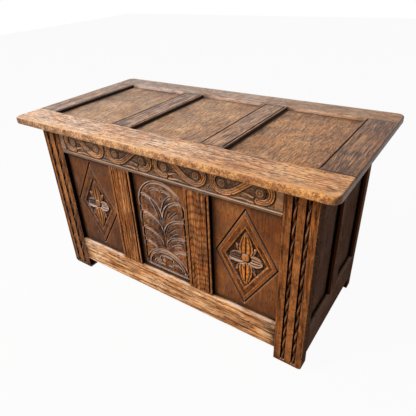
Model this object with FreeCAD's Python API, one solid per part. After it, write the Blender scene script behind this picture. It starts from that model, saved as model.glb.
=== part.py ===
import FreeCAD, Part
import os

os.makedirs("parts", exist_ok=True)

# A joined oak coffer: four framed and panelled walls, a nailed floor and a panelled lid on
# two butt hinges. Millimetres. X runs along the front, the front faces -Y, Z is up, and the
# origin lies on the floor under the middle of the lid.

# overall sizes
carcase_length = 1010.0
carcase_depth = 460.0
carcase_height = 618.0
lid_thickness = 22.0
lid_end_overhang = 55.0
lid_front_overhang = 62.0
lid_back_overhang = 66.0

# corner stiles, which run down as the feet
stile_width = 90.0
stile_thickness = 36.0
channel_spacing = 34.0
channel_from_edge = 27.0
channel_width = 14.0
channel_depth = 5.0
bead_radius = 5.6
bead_below_face = 0.6

# rails and muntins of the four walls
rail_thickness = 30.0
foot_height = 48.0
bottom_rail_height = 99.0
top_rail_height = 103.0
front_muntin_width = 88.0
side_muntin_width = 60.0

# the middle one of three openings was set out by eye: a little narrow and off centre
front_middle_narrowing = 9.0
front_middle_shift = 2.0
lid_middle_narrowing = 7.0
lid_middle_shift = 10.5

# sunk ground of the front top rail's frieze
frieze_margin = 22.0
frieze_low_margin = 10.0
frieze_high_margin = 12.0
frieze_depth = 4.0

# panels of the walls
panel_recess = 16.0
panel_thickness = 9.0
panel_tongue = 6.0
panel_bite = 9.0
groove_depth = 12.0
groove_play = 0.2
field_margin = 2.0

# mortise and tenon joints of the walls
tenon_set = 11.0
tenon_thickness = 9.0
long_tenon = 50.0
side_tenon = 26.0
muntin_tenon = 30.0
tenon_fit = 0.05
mortise_spare = 1.0

# lid boards
lid_front_rail_width = 110.0
lid_back_rail_width = 86.0
lid_end_width = 92.0
lid_muntin_width = 82.0
lid_panel_recess = 11.0
lid_panel_thickness = 8.0
lid_panel_tongue = 5.0
lid_panel_bite = 8.0
lid_groove_depth = 10.0
lid_tenon_set = 8.0
lid_tenon_thickness = 6.0
lid_tenon = 40.0
lid_corner_radius = 24.0
lid_arris_radius = 4.0

# scratched quirk lines beside the muntin edges
quirk_from_edge = 9.5
lid_quirk_from_edge = 7.0
quirk_width = 4.5
quirk_depth = 3.5
quirk_stop = 12.0

# drawbored pegs
peg_radius = 4.0
peg_fit = 0.05
peg_from_shoulder = 13.0
peg_spread = 40.0
lid_peg_spread = 46.0
side_peg_length = 34.0

# floor boards on nailed bearers
bearer_height = 22.0
bearer_depth = 20.0
bearer_above_rail_edge = 2.0
bearer_play = 0.5
floor_thickness = 12.0
floor_board_count = 5
floor_board_gap = 1.0
floor_play = 0.5
nail_radius = 1.3
nail_length = 28.0
nail_head_radius = 3.2
nail_head_thickness = 1.2
nail_fit = 0.05
nail_spacing = 50.0
nail_from_board_end = 7.0
bearer_nail_spacing = 230.0
bearer_nails_each = 4

# butt hinges and their screws
hinge_from_end = 205.0
hinge_length = 75.0
hinge_leaf_width = 23.0
hinge_leaf_thickness = 2.0
hinge_leaf_gap = 0.6
hinge_pocket_play = 0.3
hinge_back_gap = 0.5
knuckle_radius = 5.5
knuckle_count = 5
knuckle_gap = 0.4
knuckle_slot_play = 0.5
knuckle_trough_play = 1.0
pin_radius = 2.5
pin_fit = 0.05
pin_head_radius = 3.6
pin_head_length = 1.4
pin_head_gap = 0.3
pin_trough_play = 1.5
screw_radius = 1.9
screw_head_radius = 3.6
screw_length = 15.0
screw_fit = 0.05
screw_spacing = 26.0
screws_per_leaf = 3
screw_from_axis = 13.0
screw_slot_width = 0.8
screw_slot_depth = 0.8

# places that follow from the sizes
lid_length = carcase_length + 2 * lid_end_overhang
lid_depth = carcase_depth + lid_front_overhang + lid_back_overhang
lid_front = -lid_depth / 2
lid_back = lid_depth / 2
carcase_front = lid_front + lid_front_overhang
carcase_back = lid_back - lid_back_overhang
carcase_middle = (carcase_front + carcase_back) / 2
half_length = carcase_length / 2
half_depth = carcase_depth / 2
lid_top = carcase_height + lid_thickness
front_half_opening = half_length - stile_width
side_half_opening = half_depth - stile_thickness
wall_low = foot_height + bottom_rail_height
wall_high = carcase_height - top_rail_height
hinge_axis_y = carcase_back + hinge_back_gap + knuckle_radius
hinge_middle = half_length - hinge_from_end
floor_low = foot_height + bearer_above_rail_edge + bearer_height


def slab(x, y, z):
    corner = FreeCAD.Vector(x[0], y[0], z[0])
    return Part.makeBox(x[1] - x[0], y[1] - y[0], z[1] - z[0], corner)


def joined(shapes):
    whole = shapes[0]
    if len(shapes) > 1:
        whole = whole.fuse(shapes[1:])
    return whole.removeSplitter()


def hollowed(shape, cutters):
    if cutters:
        shape = shape.cut(Part.makeCompound(cutters))
    return shape


def rounded(shape, radius, wanted):
    edges = [edge for edge in shape.Edges if wanted(edge)]
    return shape.makeFillet(radius, edges)


def near(a, b):
    return abs(a - b) < 0.01


def turned(axis, degrees, x=0.0, y=0.0, z=0.0):
    return FreeCAD.Placement(FreeCAD.Vector(x, y, z), FreeCAD.Rotation(axis, degrees))


def placed(shape, placement):
    # every wall is drawn standing up: X along it, Z up, and Y in from its outer face
    copy = shape.copy()
    copy.transformShape(placement.toMatrix(), True)
    return copy


up = FreeCAD.Vector(0, 0, 1)
along = FreeCAD.Vector(1, 0, 0)
inward = FreeCAD.Vector(0, 1, 0)
front_place = turned(up, 0, y=carcase_front)
back_place = turned(up, 180, y=carcase_back)
left_place = turned(up, -90, x=-half_length, y=carcase_middle)
right_place = turned(up, 90, x=half_length, y=carcase_middle)
lid_place = turned(along, -90, z=lid_top)


class Wall:
    # the sizes that the boards of one framed wall share; low and high bound its openings
    def __init__(self, low, high, thickness, recess, field, tongue, bite, groove, tenon,
                 quirk_inset):
        self.low = low
        self.high = high
        self.thickness = thickness
        self.recess = recess
        self.field = field
        self.tongue = tongue
        self.bite = bite
        self.groove = groove
        self.tenon_y = tenon
        self.quirk_inset = quirk_inset

    def board(self, x, z):
        return slab(x, (0, self.thickness), z)

    def post_body(self, x):
        return self.board(x, (self.low, self.high))

    def tenon(self, x, z):
        return slab(x, self.tenon_y, z)

    def mortise(self, x, z):
        # the tenon's own sizes with the fit all round
        y = (self.tenon_y[0] - tenon_fit, self.tenon_y[1] + tenon_fit)
        return slab(x, y, z)

    def groove_cut(self, x, z):
        y = (self.recess - groove_play, self.recess + self.tongue + groove_play)
        return slab(x, y, z)

    def post(self, body, x, length, grooved, quirked=()):
        # a board between the two rails, with a tenon on each end
        inner = (x[0] + self.groove, x[1] - self.groove)
        shape = joined([body, self.tenon(inner, (self.low - length, self.high + length))])
        cuts = []
        if "left" in grooved:
            cuts.append(self.groove_cut((x[0], x[0] + self.groove), (self.low, self.high)))
        if "right" in grooved:
            cuts.append(self.groove_cut((x[1] - self.groove, x[1]), (self.low, self.high)))
        stopped = (self.low + quirk_stop, self.high - quirk_stop)
        if "left" in quirked:
            cuts.append(quirk(x[0] + self.quirk_inset, stopped))
        if "right" in quirked:
            cuts.append(quirk(x[1] - self.quirk_inset, stopped))
        return hollowed(shape, cuts)

    def post_mortises(self, x, length):
        # the two mortises that take a post's tenons, one in each rail
        inner = (x[0] + self.groove - tenon_fit, x[1] - self.groove + tenon_fit)
        deep = length + mortise_spare
        return [self.mortise(inner, (self.low - deep, self.low)),
                self.mortise(inner, (self.high, self.high + deep))]

    def rail_grooves(self, x):
        return [self.groove_cut(x, (self.low - self.groove, self.low)),
                self.groove_cut(x, (self.high, self.high + self.groove))]

    def panel(self, x):
        # the edges are thinned from behind to a tongue that stands in the grooves
        edge_x = (x[0] - self.bite, x[1] + self.bite)
        edge_z = (self.low - self.bite, self.high + self.bite)
        tongue = slab(edge_x, (self.recess, self.recess + self.tongue), edge_z)
        field_x = (x[0] + field_margin, x[1] - field_margin)
        field_z = (self.low + field_margin, self.high - field_margin)
        field = slab(field_x, (self.recess, self.recess + self.field), field_z)
        return joined([tongue, field])


def quirk(x, z):
    return slab((x - quirk_width / 2, x + quirk_width / 2), (0, quirk_depth), z)


def three_openings(half, post_width, narrowing, shift):
    # the middle opening is narrower than the outer two would be, and lies off centre
    width = (2 * (half - post_width) - 2 * narrowing) / 3
    middle = (shift - width / 2, shift + width / 2)
    posts = [(middle[0] - post_width, middle[0]), (middle[1], middle[1] + post_width)]
    openings = [(-half, posts[0][0]), middle, (posts[1][1], half)]
    return openings, posts


wall_tenon = (tenon_set, tenon_set + tenon_thickness)
wall = Wall(wall_low, wall_high, rail_thickness, panel_recess, panel_thickness,
            panel_tongue, panel_bite, groove_depth, wall_tenon, quirk_from_edge)
lid_low = lid_front + lid_front_rail_width
lid_high = lid_back - lid_back_rail_width
lid_tenon_y = (lid_tenon_set, lid_tenon_set + lid_tenon_thickness)
lid = Wall(lid_low, lid_high, lid_thickness, lid_panel_recess, lid_panel_thickness,
           lid_panel_tongue, lid_panel_bite, lid_groove_depth, lid_tenon_y,
           lid_quirk_from_edge)

both_edges = ("left", "right")
muntin_names = ("left", "right")
panel_names = ("left", "centre", "right")
left_side_panels = ("rear", "front")
right_side_panels = ("front", "rear")
bottom_rail = (foot_height, wall_low)
top_rail = (wall_high, carcase_height)
pieces = {}


def rail_tenons(rail):
    # a rail's tenon is as much narrower than the rail as its groove is deep
    return rail[0] + groove_depth, rail[1] - groove_depth


def mirrored_spans(start, end):
    return [(-end, -start), (start, end)]


def stile_cuts(half, length):
    # what one wall takes out of the stiles at its two ends: grooves and mortises
    cuts = []
    for x in mirrored_spans(half, half + groove_depth):
        cuts.append(wall.groove_cut(x, (wall_low - groove_depth, wall_high + groove_depth)))
    for x in mirrored_spans(half, half + length + mortise_spare):
        for rail in (bottom_rail, top_rail):
            low, high = rail_tenons(rail)
            cuts.append(wall.mortise(x, (low - tenon_fit, high + tenon_fit)))
    return cuts


def peg_places(half):
    places = []
    for x in (-half - peg_from_shoulder, half + peg_from_shoulder):
        for rail in (bottom_rail, top_rail):
            middle = (rail[0] + rail[1]) / 2
            places.append((x, middle - peg_spread / 2))
            places.append((x, middle + peg_spread / 2))
    return places


def rods(places, radius, length):
    return [Part.makeCylinder(radius, length, FreeCAD.Vector(x, 0, z), inward)
            for x, z in places]


def peg_holes(places, length):
    return rods(places, peg_radius + peg_fit, length)


def wall_rail(half, rail, length, posts, post_length, holes):
    # a rail between two stiles, with a tenon on each end and a groove for the panels
    low, high = rail_tenons(rail)
    shape = joined([wall.board((-half, half), rail),
                    wall.tenon((-half - length, half + length), (low, high))])
    cuts = wall.rail_grooves((-half, half)) + holes
    for x in posts:
        cuts += wall.post_mortises(x, post_length)
    return hollowed(shape, cuts)


# the four walls
front_openings, front_posts = three_openings(front_half_opening, front_muntin_width,
                                             front_middle_narrowing, front_middle_shift)
side_posts = [(-side_muntin_width / 2, side_muntin_width / 2)]
side_openings = [(-side_half_opening, side_posts[0][0]), (side_posts[0][1], side_half_opening)]
front_peg_places = peg_places(front_half_opening)
side_peg_places = peg_places(side_half_opening)
front_holes = peg_holes(front_peg_places, stile_thickness)
side_holes = peg_holes(side_peg_places, side_peg_length)


def frieze_ground():
    x = (-front_half_opening + frieze_margin, front_half_opening - frieze_margin)
    z = (wall_high + frieze_low_margin, carcase_height - frieze_high_margin)
    return slab(x, (0, frieze_depth), z)


def add_long_wall(name, placement, quirked):
    bottom = wall_rail(front_half_opening, bottom_rail, long_tenon, front_posts,
                       muntin_tenon, front_holes)
    top = wall_rail(front_half_opening, top_rail, long_tenon, front_posts,
                    muntin_tenon, front_holes)
    if name == "front":
        top = hollowed(top, [frieze_ground()])
    pieces[name + "_bottom_rail"] = placed(bottom, placement)
    pieces[name + "_top_rail"] = placed(top, placement)
    for side, x in zip(muntin_names, front_posts):
        post = wall.post(wall.post_body(x), x, muntin_tenon, both_edges, quirked)
        pieces[name + "_" + side + "_muntin"] = placed(post, placement)
    for side, x in zip(panel_names, front_openings):
        pieces[name + "_" + side + "_panel"] = placed(wall.panel(x), placement)
    pegs = Part.makeCompound(rods(front_peg_places, peg_radius, stile_thickness))
    pieces[name + "_pegs"] = placed(pegs, placement)


def add_side_wall(name, placement, ends):
    for rail_name, rail in (("_bottom_rail", bottom_rail), ("_top_rail", top_rail)):
        shape = wall_rail(side_half_opening, rail, side_tenon, side_posts,
                          muntin_tenon, side_holes)
        pieces[name + rail_name] = placed(shape, placement)
    x = side_posts[0]
    post = wall.post(wall.post_body(x), x, muntin_tenon, both_edges)
    pieces[name + "_muntin"] = placed(post, placement)
    for end, x in zip(ends, side_openings):
        pieces[name + "_" + end + "_panel"] = placed(wall.panel(x), placement)
    pegs = Part.makeCompound(rods(side_peg_places, peg_radius, side_peg_length))
    pieces[name + "_pegs"] = placed(pegs, placement)


def rope_channels(x_span):
    # two sunk channels down a front stile, each with a round bead left standing in it
    outer = half_length - channel_from_edge
    side = 1 if x_span[0] > 0 else -1
    cuts = []
    beads = []
    for distance in (outer, outer - channel_spacing):
        x = side * distance
        cuts.append(slab((x - channel_width / 2, x + channel_width / 2),
                         (0, channel_depth), (0, carcase_height)))
        centre = FreeCAD.Vector(x, bead_radius + bead_below_face, 0)
        beads.append(Part.makeCylinder(bead_radius, carcase_height, centre, up))
    return cuts, beads


def add_stile(name, x_span, placement, side_placement, roped):
    shape = slab(x_span, (0, stile_thickness), (0, carcase_height))
    if roped:
        cuts, beads = rope_channels(x_span)
        shape = joined([hollowed(shape, cuts)] + beads)
    shape = hollowed(shape, stile_cuts(front_half_opening, long_tenon) + front_holes)
    shape = placed(shape, placement)
    side_cuts = stile_cuts(side_half_opening, side_tenon) + side_holes
    pieces[name] = hollowed(shape, [placed(cut, side_placement) for cut in side_cuts])


left_span, right_span = mirrored_spans(front_half_opening, half_length)
add_long_wall("front", front_place, both_edges)
add_long_wall("back", back_place, ())
add_side_wall("left", left_place, left_side_panels)
add_side_wall("right", right_place, right_side_panels)
add_stile("front_left_stile", left_span, front_place, left_place, True)
add_stile("front_right_stile", right_span, front_place, right_place, True)
add_stile("rear_left_stile", right_span, back_place, left_place, False)
add_stile("rear_right_stile", left_span, back_place, right_place, False)


# the floor: boards nailed down on two bearers, which are nailed to the long bottom rails
def nail(x, y, z, direction):
    # the head's outer face lies at the point given, and the shank runs along the direction
    start = FreeCAD.Vector(x, y, z)
    head = Part.makeCylinder(nail_head_radius, nail_head_thickness, start, direction)
    shank = Part.makeCylinder(nail_radius, nail_length, start, direction)
    return joined([head, shank])


def nail_hole(x, y, z, direction):
    start = FreeCAD.Vector(x, y, z)
    head = Part.makeCylinder(nail_head_radius + nail_fit, nail_head_thickness, start, direction)
    shank = Part.makeCylinder(nail_radius + nail_fit, nail_length, start, direction)
    return joined([head, shank])


down = FreeCAD.Vector(0, 0, -1)
backward = FreeCAD.Vector(0, 1, 0)
forward = FreeCAD.Vector(0, -1, 0)
rail_inner_front = carcase_front + rail_thickness
rail_inner_back = carcase_back - rail_thickness
floor_top = floor_low + floor_thickness
floor_y = (carcase_front + stile_thickness + floor_play,
           carcase_back - stile_thickness - floor_play)
floor_half = half_length - rail_thickness - floor_play
board_width = ((2 * floor_half - floor_board_gap * (floor_board_count - 1))
               / floor_board_count)
bearer_x = (-front_half_opening + bearer_play, front_half_opening - bearer_play)
bearer_z = (floor_low - bearer_height, floor_low)
bearer_nail_z = (bearer_z[0] + bearer_z[1]) / 2


def bearer_nail_places():
    first = -bearer_nail_spacing * (bearer_nails_each - 1) / 2
    xs = [first + index * bearer_nail_spacing for index in range(bearer_nails_each)]
    front = [(x, rail_inner_front + bearer_depth, bearer_nail_z, forward) for x in xs]
    back = [(x, rail_inner_back - bearer_depth, bearer_nail_z, backward) for x in xs]
    return front, back


def board_nail_places(middle):
    places = []
    for x in (middle - nail_spacing / 2, middle + nail_spacing / 2):
        for y in (floor_y[0] + nail_from_board_end, floor_y[1] - nail_from_board_end):
            places.append((x, y, floor_top, down))
    return places


front_bearer_nails, back_bearer_nails = bearer_nail_places()
floor_nail_places = []
for index in range(floor_board_count):
    start = -floor_half + index * (board_width + floor_board_gap)
    places = board_nail_places(start + board_width / 2)
    board = slab((start, start + board_width), floor_y, (floor_low, floor_top))
    pieces["floor_board_%d" % (index + 1)] = hollowed(board, [nail_hole(*p) for p in places])
    floor_nail_places += places

floor_nail_holes = [nail_hole(*place) for place in floor_nail_places]


def add_bearer(name, rail_name, y, places):
    holes = [nail_hole(*place) for place in places]
    pieces[name] = hollowed(slab(bearer_x, y, bearer_z), holes + floor_nail_holes)
    pieces[rail_name] = hollowed(pieces[rail_name], holes)


add_bearer("floor_bearer_front", "front_bottom_rail",
           (rail_inner_front, rail_inner_front + bearer_depth), front_bearer_nails)
add_bearer("floor_bearer_rear", "back_bottom_rail",
           (rail_inner_back - bearer_depth, rail_inner_back), back_bearer_nails)
pieces["floor_nails"] = Part.makeCompound([nail(*place) for place in floor_nail_places])
pieces["bearer_nails"] = Part.makeCompound(
    [nail(*place) for place in front_bearer_nails + back_bearer_nails])


# the lid: two long rails run through, and the ends and muntins are tenoned between them
lid_half = lid_length / 2
lid_inner_half = lid_half - lid_end_width
lid_openings, lid_posts = three_openings(lid_inner_half, lid_muntin_width,
                                         lid_middle_narrowing, lid_middle_shift)
lid_ends = [(-lid_half, -lid_inner_half), (lid_inner_half, lid_half)]
lid_peg_places = []
for span in lid_ends:
    middle = (span[0] + span[1]) / 2
    for x in (middle - lid_peg_spread / 2, middle + lid_peg_spread / 2):
        lid_peg_places.append((x, lid_low - peg_from_shoulder))
        lid_peg_places.append((x, lid_high + peg_from_shoulder))
lid_holes = peg_holes(lid_peg_places, lid_thickness)


def lid_rail(z, outer_z):
    # the outer corners are rounded in plan, then the upper and lower arrises
    shape = lid.board((-lid_half, lid_half), z)
    shape = rounded(shape, lid_corner_radius, lambda edge: is_corner(edge, outer_z))
    shape = rounded(shape, lid_arris_radius, lambda edge: is_outer_arris(edge, z, outer_z))
    cuts = lid.rail_grooves((-lid_inner_half - lid_groove_depth,
                             lid_inner_half + lid_groove_depth)) + lid_holes
    for x in lid_ends + lid_posts:
        cuts += lid.post_mortises(x, lid_tenon)
    return hollowed(shape, cuts)


def is_corner(edge, outer_z):
    centre = edge.CenterOfMass
    return near(centre.z, outer_z) and near(abs(centre.x), lid_half)


def is_outer_arris(edge, z, outer_z):
    # an edge of the top or bottom face, other than the one along the inner joint
    centre = edge.CenterOfMass
    flat = near(centre.y, 0) or near(centre.y, lid_thickness)
    inner_z = z[0] if outer_z == z[1] else z[1]
    return flat and not near(centre.z, inner_z)


def lid_end(x, outer_x, grooved):
    body = rounded(lid.post_body(x), lid_arris_radius, lambda edge: is_end_arris(edge, outer_x))
    return hollowed(lid.post(body, x, lid_tenon, grooved, grooved), lid_holes)


def is_end_arris(edge, outer_x):
    centre = edge.CenterOfMass
    flat = near(centre.y, 0) or near(centre.y, lid_thickness)
    return flat and near(centre.x, outer_x)


lid_back_rail = placed(lid_rail((lid_high, lid_back), lid_back), lid_place)
pieces["lid_front_rail"] = placed(lid_rail((lid_front, lid_low), lid_front), lid_place)
pieces["lid_left_end"] = placed(lid_end(lid_ends[0], -lid_half, ("right",)), lid_place)
pieces["lid_right_end"] = placed(lid_end(lid_ends[1], lid_half, ("left",)), lid_place)
for side, x in zip(muntin_names, lid_posts):
    post = lid.post(lid.post_body(x), x, lid_tenon, both_edges, both_edges)
    pieces["lid_" + side + "_muntin"] = placed(post, lid_place)
for side, x in zip(panel_names, lid_openings):
    pieces["lid_" + side + "_panel"] = placed(lid.panel(x), lid_place)
lid_pegs = Part.makeCompound(rods(lid_peg_places, peg_radius, lid_thickness))
pieces["lid_pegs"] = placed(lid_pegs, lid_place)


# the hinges: one leaf let into the rail, one into the lid, and the barrel behind the back
def rod_x(radius, start, end):
    corner = FreeCAD.Vector(start, hinge_axis_y, carcase_height)
    return Part.makeCylinder(radius, end - start, corner, along)


def knuckle_spans(middle, first):
    pitch = hinge_length / knuckle_count
    spans = []
    for index in range(first, knuckle_count, 2):
        start = middle - hinge_length / 2 + index * pitch
        spans.append((start + knuckle_gap / 2, start + pitch - knuckle_gap / 2))
    return spans


def leaf_z(side):
    # side is -1 for the carcase's leaf and 1 for the lid's
    inner = carcase_height + side * hinge_leaf_gap / 2
    outer = inner + side * hinge_leaf_thickness
    return min(inner, outer), max(inner, outer)


def screw_places(middle):
    first = middle - screw_spacing * (screws_per_leaf - 1) / 2
    return [first + index * screw_spacing for index in range(screws_per_leaf)]


def screw(x, side, fit, slotted):
    # a countersunk head flush with the leaf, and the shank on into the wood
    face = carcase_height + side * hinge_leaf_gap / 2
    start = FreeCAD.Vector(x, hinge_axis_y - screw_from_axis, face)
    direction = FreeCAD.Vector(0, 0, side)
    head = Part.makeCone(screw_head_radius + fit, screw_radius + fit, hinge_leaf_thickness,
                         start, direction)
    shape = joined([head, Part.makeCylinder(screw_radius + fit, screw_length, start, direction)])
    if slotted:
        z = sorted((face, face + side * screw_slot_depth))
        y = (start.y - screw_slot_width / 2, start.y + screw_slot_width / 2)
        reach = 2 * screw_head_radius
        shape = shape.cut(slab((x - reach, x + reach), y, z))
    return shape


def leaf(middle, side, own_first, other_first):
    x = (middle - hinge_length / 2, middle + hinge_length / 2)
    plate = slab(x, (hinge_axis_y - hinge_leaf_width, hinge_axis_y), leaf_z(side))
    slots = []
    for start, end in knuckle_spans(middle, other_first):
        y = (hinge_axis_y - knuckle_radius - knuckle_slot_play, hinge_axis_y + knuckle_radius)
        slots.append(slab((start - knuckle_gap, end + knuckle_gap), y, leaf_z(side)))
    plate = hollowed(plate, slots)
    barrels = [rod_x(knuckle_radius, start, end)
               for start, end in knuckle_spans(middle, own_first)]
    shape = joined([plate] + barrels)
    bore = rod_x(pin_radius + pin_fit, x[0], x[1])
    holes = [screw(at, side, screw_fit, False) for at in screw_places(middle)]
    return hollowed(shape, [bore] + holes)


def pin(middle):
    start = middle - hinge_length / 2 - pin_head_gap
    end = middle + hinge_length / 2 + pin_head_gap
    return joined([rod_x(pin_radius, start, end),
                   rod_x(pin_head_radius, start - pin_head_length, start),
                   rod_x(pin_head_radius, end, end + pin_head_length)])


def pocket(middle, side):
    # the let-in bed of a leaf, cut from the face where lid and rail meet
    half = hinge_length / 2 + hinge_pocket_play
    y = (hinge_axis_y - hinge_leaf_width - hinge_pocket_play, hinge_axis_y)
    deep = carcase_height + side * (hinge_leaf_gap / 2 + hinge_leaf_thickness)
    return slab((middle - half, middle + half), y, sorted((carcase_height, deep)))


def trough(middle):
    half = hinge_length / 2 + pin_head_gap + pin_head_length + pin_trough_play
    return rod_x(knuckle_radius + knuckle_trough_play, middle - half, middle + half)


rail_cuts = []
lid_cuts = []
rail_screws = []
lid_screws = []
for name, middle in (("left", -hinge_middle), ("right", hinge_middle)):
    pieces[name + "_hinge_carcase_leaf"] = leaf(middle, -1, 0, 1)
    pieces[name + "_hinge_lid_leaf"] = leaf(middle, 1, 1, 0)
    pieces[name + "_hinge_pin"] = pin(middle)
    rail_cuts.append(pocket(middle, -1))
    lid_cuts += [pocket(middle, 1), trough(middle)]
    for x in screw_places(middle):
        rail_cuts.append(screw(x, -1, screw_fit, False))
        lid_cuts.append(screw(x, 1, screw_fit, False))
        rail_screws.append(screw(x, -1, 0.0, True))
        lid_screws.append(screw(x, 1, 0.0, True))
pieces["back_top_rail"] = hollowed(pieces["back_top_rail"], rail_cuts)
pieces["lid_back_rail"] = hollowed(lid_back_rail, lid_cuts)
pieces["hinge_carcase_screws"] = Part.makeCompound(rail_screws)
pieces["hinge_lid_screws"] = Part.makeCompound(lid_screws)

for name, shape in pieces.items():
    shape.exportStep("parts/" + name + ".step")
print(len(pieces), "pieces written")
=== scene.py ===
import math

import bpy
import numpy as np
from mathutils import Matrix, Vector


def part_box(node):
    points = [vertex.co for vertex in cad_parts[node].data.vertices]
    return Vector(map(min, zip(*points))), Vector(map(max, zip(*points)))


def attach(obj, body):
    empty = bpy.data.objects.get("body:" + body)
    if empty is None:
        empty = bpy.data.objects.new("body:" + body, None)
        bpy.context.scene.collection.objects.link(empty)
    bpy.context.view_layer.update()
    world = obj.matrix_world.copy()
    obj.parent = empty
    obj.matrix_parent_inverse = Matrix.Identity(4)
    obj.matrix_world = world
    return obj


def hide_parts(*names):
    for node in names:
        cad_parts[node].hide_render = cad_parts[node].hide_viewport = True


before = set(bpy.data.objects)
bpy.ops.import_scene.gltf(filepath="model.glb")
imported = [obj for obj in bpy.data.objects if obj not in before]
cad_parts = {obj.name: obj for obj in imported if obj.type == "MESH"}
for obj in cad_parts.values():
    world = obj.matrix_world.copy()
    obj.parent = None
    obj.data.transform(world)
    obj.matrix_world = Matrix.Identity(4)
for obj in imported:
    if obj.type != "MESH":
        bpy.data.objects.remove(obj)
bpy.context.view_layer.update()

mm = 0.001
print("frame loaded:", len(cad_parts), "nodes")

# the sides of a board as its face is looked at
allSides = ("left", "right", "low", "high")
otherSide = {"left": "right", "right": "left"}
# which way a board's face looks: its across, up and inward directions
facings = {
    "front": (Vector((1, 0, 0)), Vector((0, 0, 1)), Vector((0, 1, 0))),
    "back": (Vector((-1, 0, 0)), Vector((0, 0, 1)), Vector((0, -1, 0))),
    "right": (Vector((0, 1, 0)), Vector((0, 0, 1)), Vector((-1, 0, 0))),
    "left": (Vector((0, -1, 0)), Vector((0, 0, 1)), Vector((1, 0, 0))),
    "top": (Vector((1, 0, 0)), Vector((0, 1, 0)), Vector((0, 0, -1))),
}


def rgb(*values):
    return (*values, 1.0)


# one socket of a finish; an expression on links adds its Math nodes
class Link:
    def __init__(self, finish, socket):
        self.finish = finish
        self.socket = socket

    def maths(self, operation, *values):
        return self.finish.node("ShaderNodeMath", {"operation": operation}, dict(enumerate(values)))

    def __add__(self, other):
        return self.maths("ADD", self, other)

    def __radd__(self, other):
        return self.maths("ADD", other, self)

    def __sub__(self, other):
        return self.maths("SUBTRACT", self, other)

    def __rsub__(self, other):
        return self.maths("SUBTRACT", other, self)

    def __mul__(self, other):
        return self.maths("MULTIPLY", self, other)

    def __pow__(self, other):
        return self.maths("POWER", self, other)

    def sine(self):
        return self.maths("SINE", self)

    def size(self):
        return self.maths("ABSOLUTE", self)

    def atMost(self, other):
        return self.maths("MINIMUM", self, other)

    def atLeast(self, other):
        return self.maths("MAXIMUM", self, other)

    def clamped(self):
        return self.atLeast(0.0).atMost(1.0)

    def between(self, low, high):
        # 0 below low, 1 above high, smooth in between
        values = {"Value": self, "From Min": low, "From Max": high, "To Min": 0.0, "To Max": 1.0}
        return self.finish.node("ShaderNodeMapRange", {"interpolation_type": "SMOOTHSTEP"}, values)


# a material under construction
class Finish:
    def __init__(self, name):
        self.material = bpy.data.materials.new(name)
        self.material.use_nodes = True
        self.tree = self.material.node_tree
        self.shader = self.tree.nodes["Principled BSDF"]
        self.colour = None   # what has been painted so far

    def feed(self, socket, value):
        if isinstance(value, Link):
            self.tree.links.new(value.socket, socket)
        else:
            socket.default_value = value

    def node(self, kind, settings, inputs, output=0):
        made = self.tree.nodes.new(kind)
        for key, value in settings.items():
            if key == "stops":
                ramp = made.color_ramp
                while len(ramp.elements) < len(value):
                    ramp.elements.new(1.0)
                for element, (position, colour) in zip(ramp.elements, value):
                    element.position = position
                    element.color = rgb(*colour)
            else:
                setattr(made, key, value)
        for key, value in inputs.items():
            self.feed(made.inputs[key], value)
        return Link(self, made.outputs[output])

    def set(self, socket, value):
        self.feed(self.shader.inputs[socket], value)

    def mix(self, mask, under, over, how="MIX"):
        settings = {"data_type": "RGBA", "blend_type": how}
        return self.node("ShaderNodeMix", settings, {0: mask, 6: under, 7: over}, 2)

    def coat(self, mask, colour, how="MIX"):
        # paints another colour over what is there, where the mask is 1
        self.colour = self.mix(mask, self.colour, colour, how)

    def ramp(self, value, places, colours):
        return self.node("ShaderNodeValToRGB", {"stops": list(zip(places, colours))}, {0: value})

    def bump(self, strength, distance, height):
        values = {"Strength": strength, "Distance": distance, "Height": height}
        return self.node("ShaderNodeBump", {}, values)

    def parts(self, vector):
        split = self.tree.nodes.new("ShaderNodeSeparateXYZ")
        self.feed(split.inputs[0], vector)
        return [Link(self, output) for output in split.outputs]

    def place(self):
        return self.parts(self.node("ShaderNodeTexCoord", {}, {}, "Object"))

    def facing(self):
        # the surface's own direction in the chest's frame
        normal = self.node("ShaderNodeNewGeometry", {}, {}, "Normal")
        settings = {"vector_type": "NORMAL", "convert_from": "WORLD", "convert_to": "OBJECT"}
        return self.parts(self.node("ShaderNodeVectorTransform", settings, {0: normal}))

    def vector(self, x, y, z):
        return self.node("ShaderNodeCombineXYZ", {}, {0: x, 1: y, 2: z})

    def noise(self, vector, detail=3.0, rough=0.5, warp=0.0):
        values = {"Vector": vector, "Scale": 1.0, "Detail": detail, "Roughness": rough,
                  "Distortion": warp}
        return self.node("ShaderNodeTexNoise", {}, values)

    def attribute(self, name):
        return self.node("ShaderNodeAttribute", {"attribute_name": name}, {}, "Fac")


# sRGB values from 0 to 255 as a linear colour
def tint(values):
    return tuple(((value / 255 + 0.055) / 1.055) ** 2.4 if value > 10 else value / 3294
                 for value in values)


def dye(values):
    return rgb(*tint(values))


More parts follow.
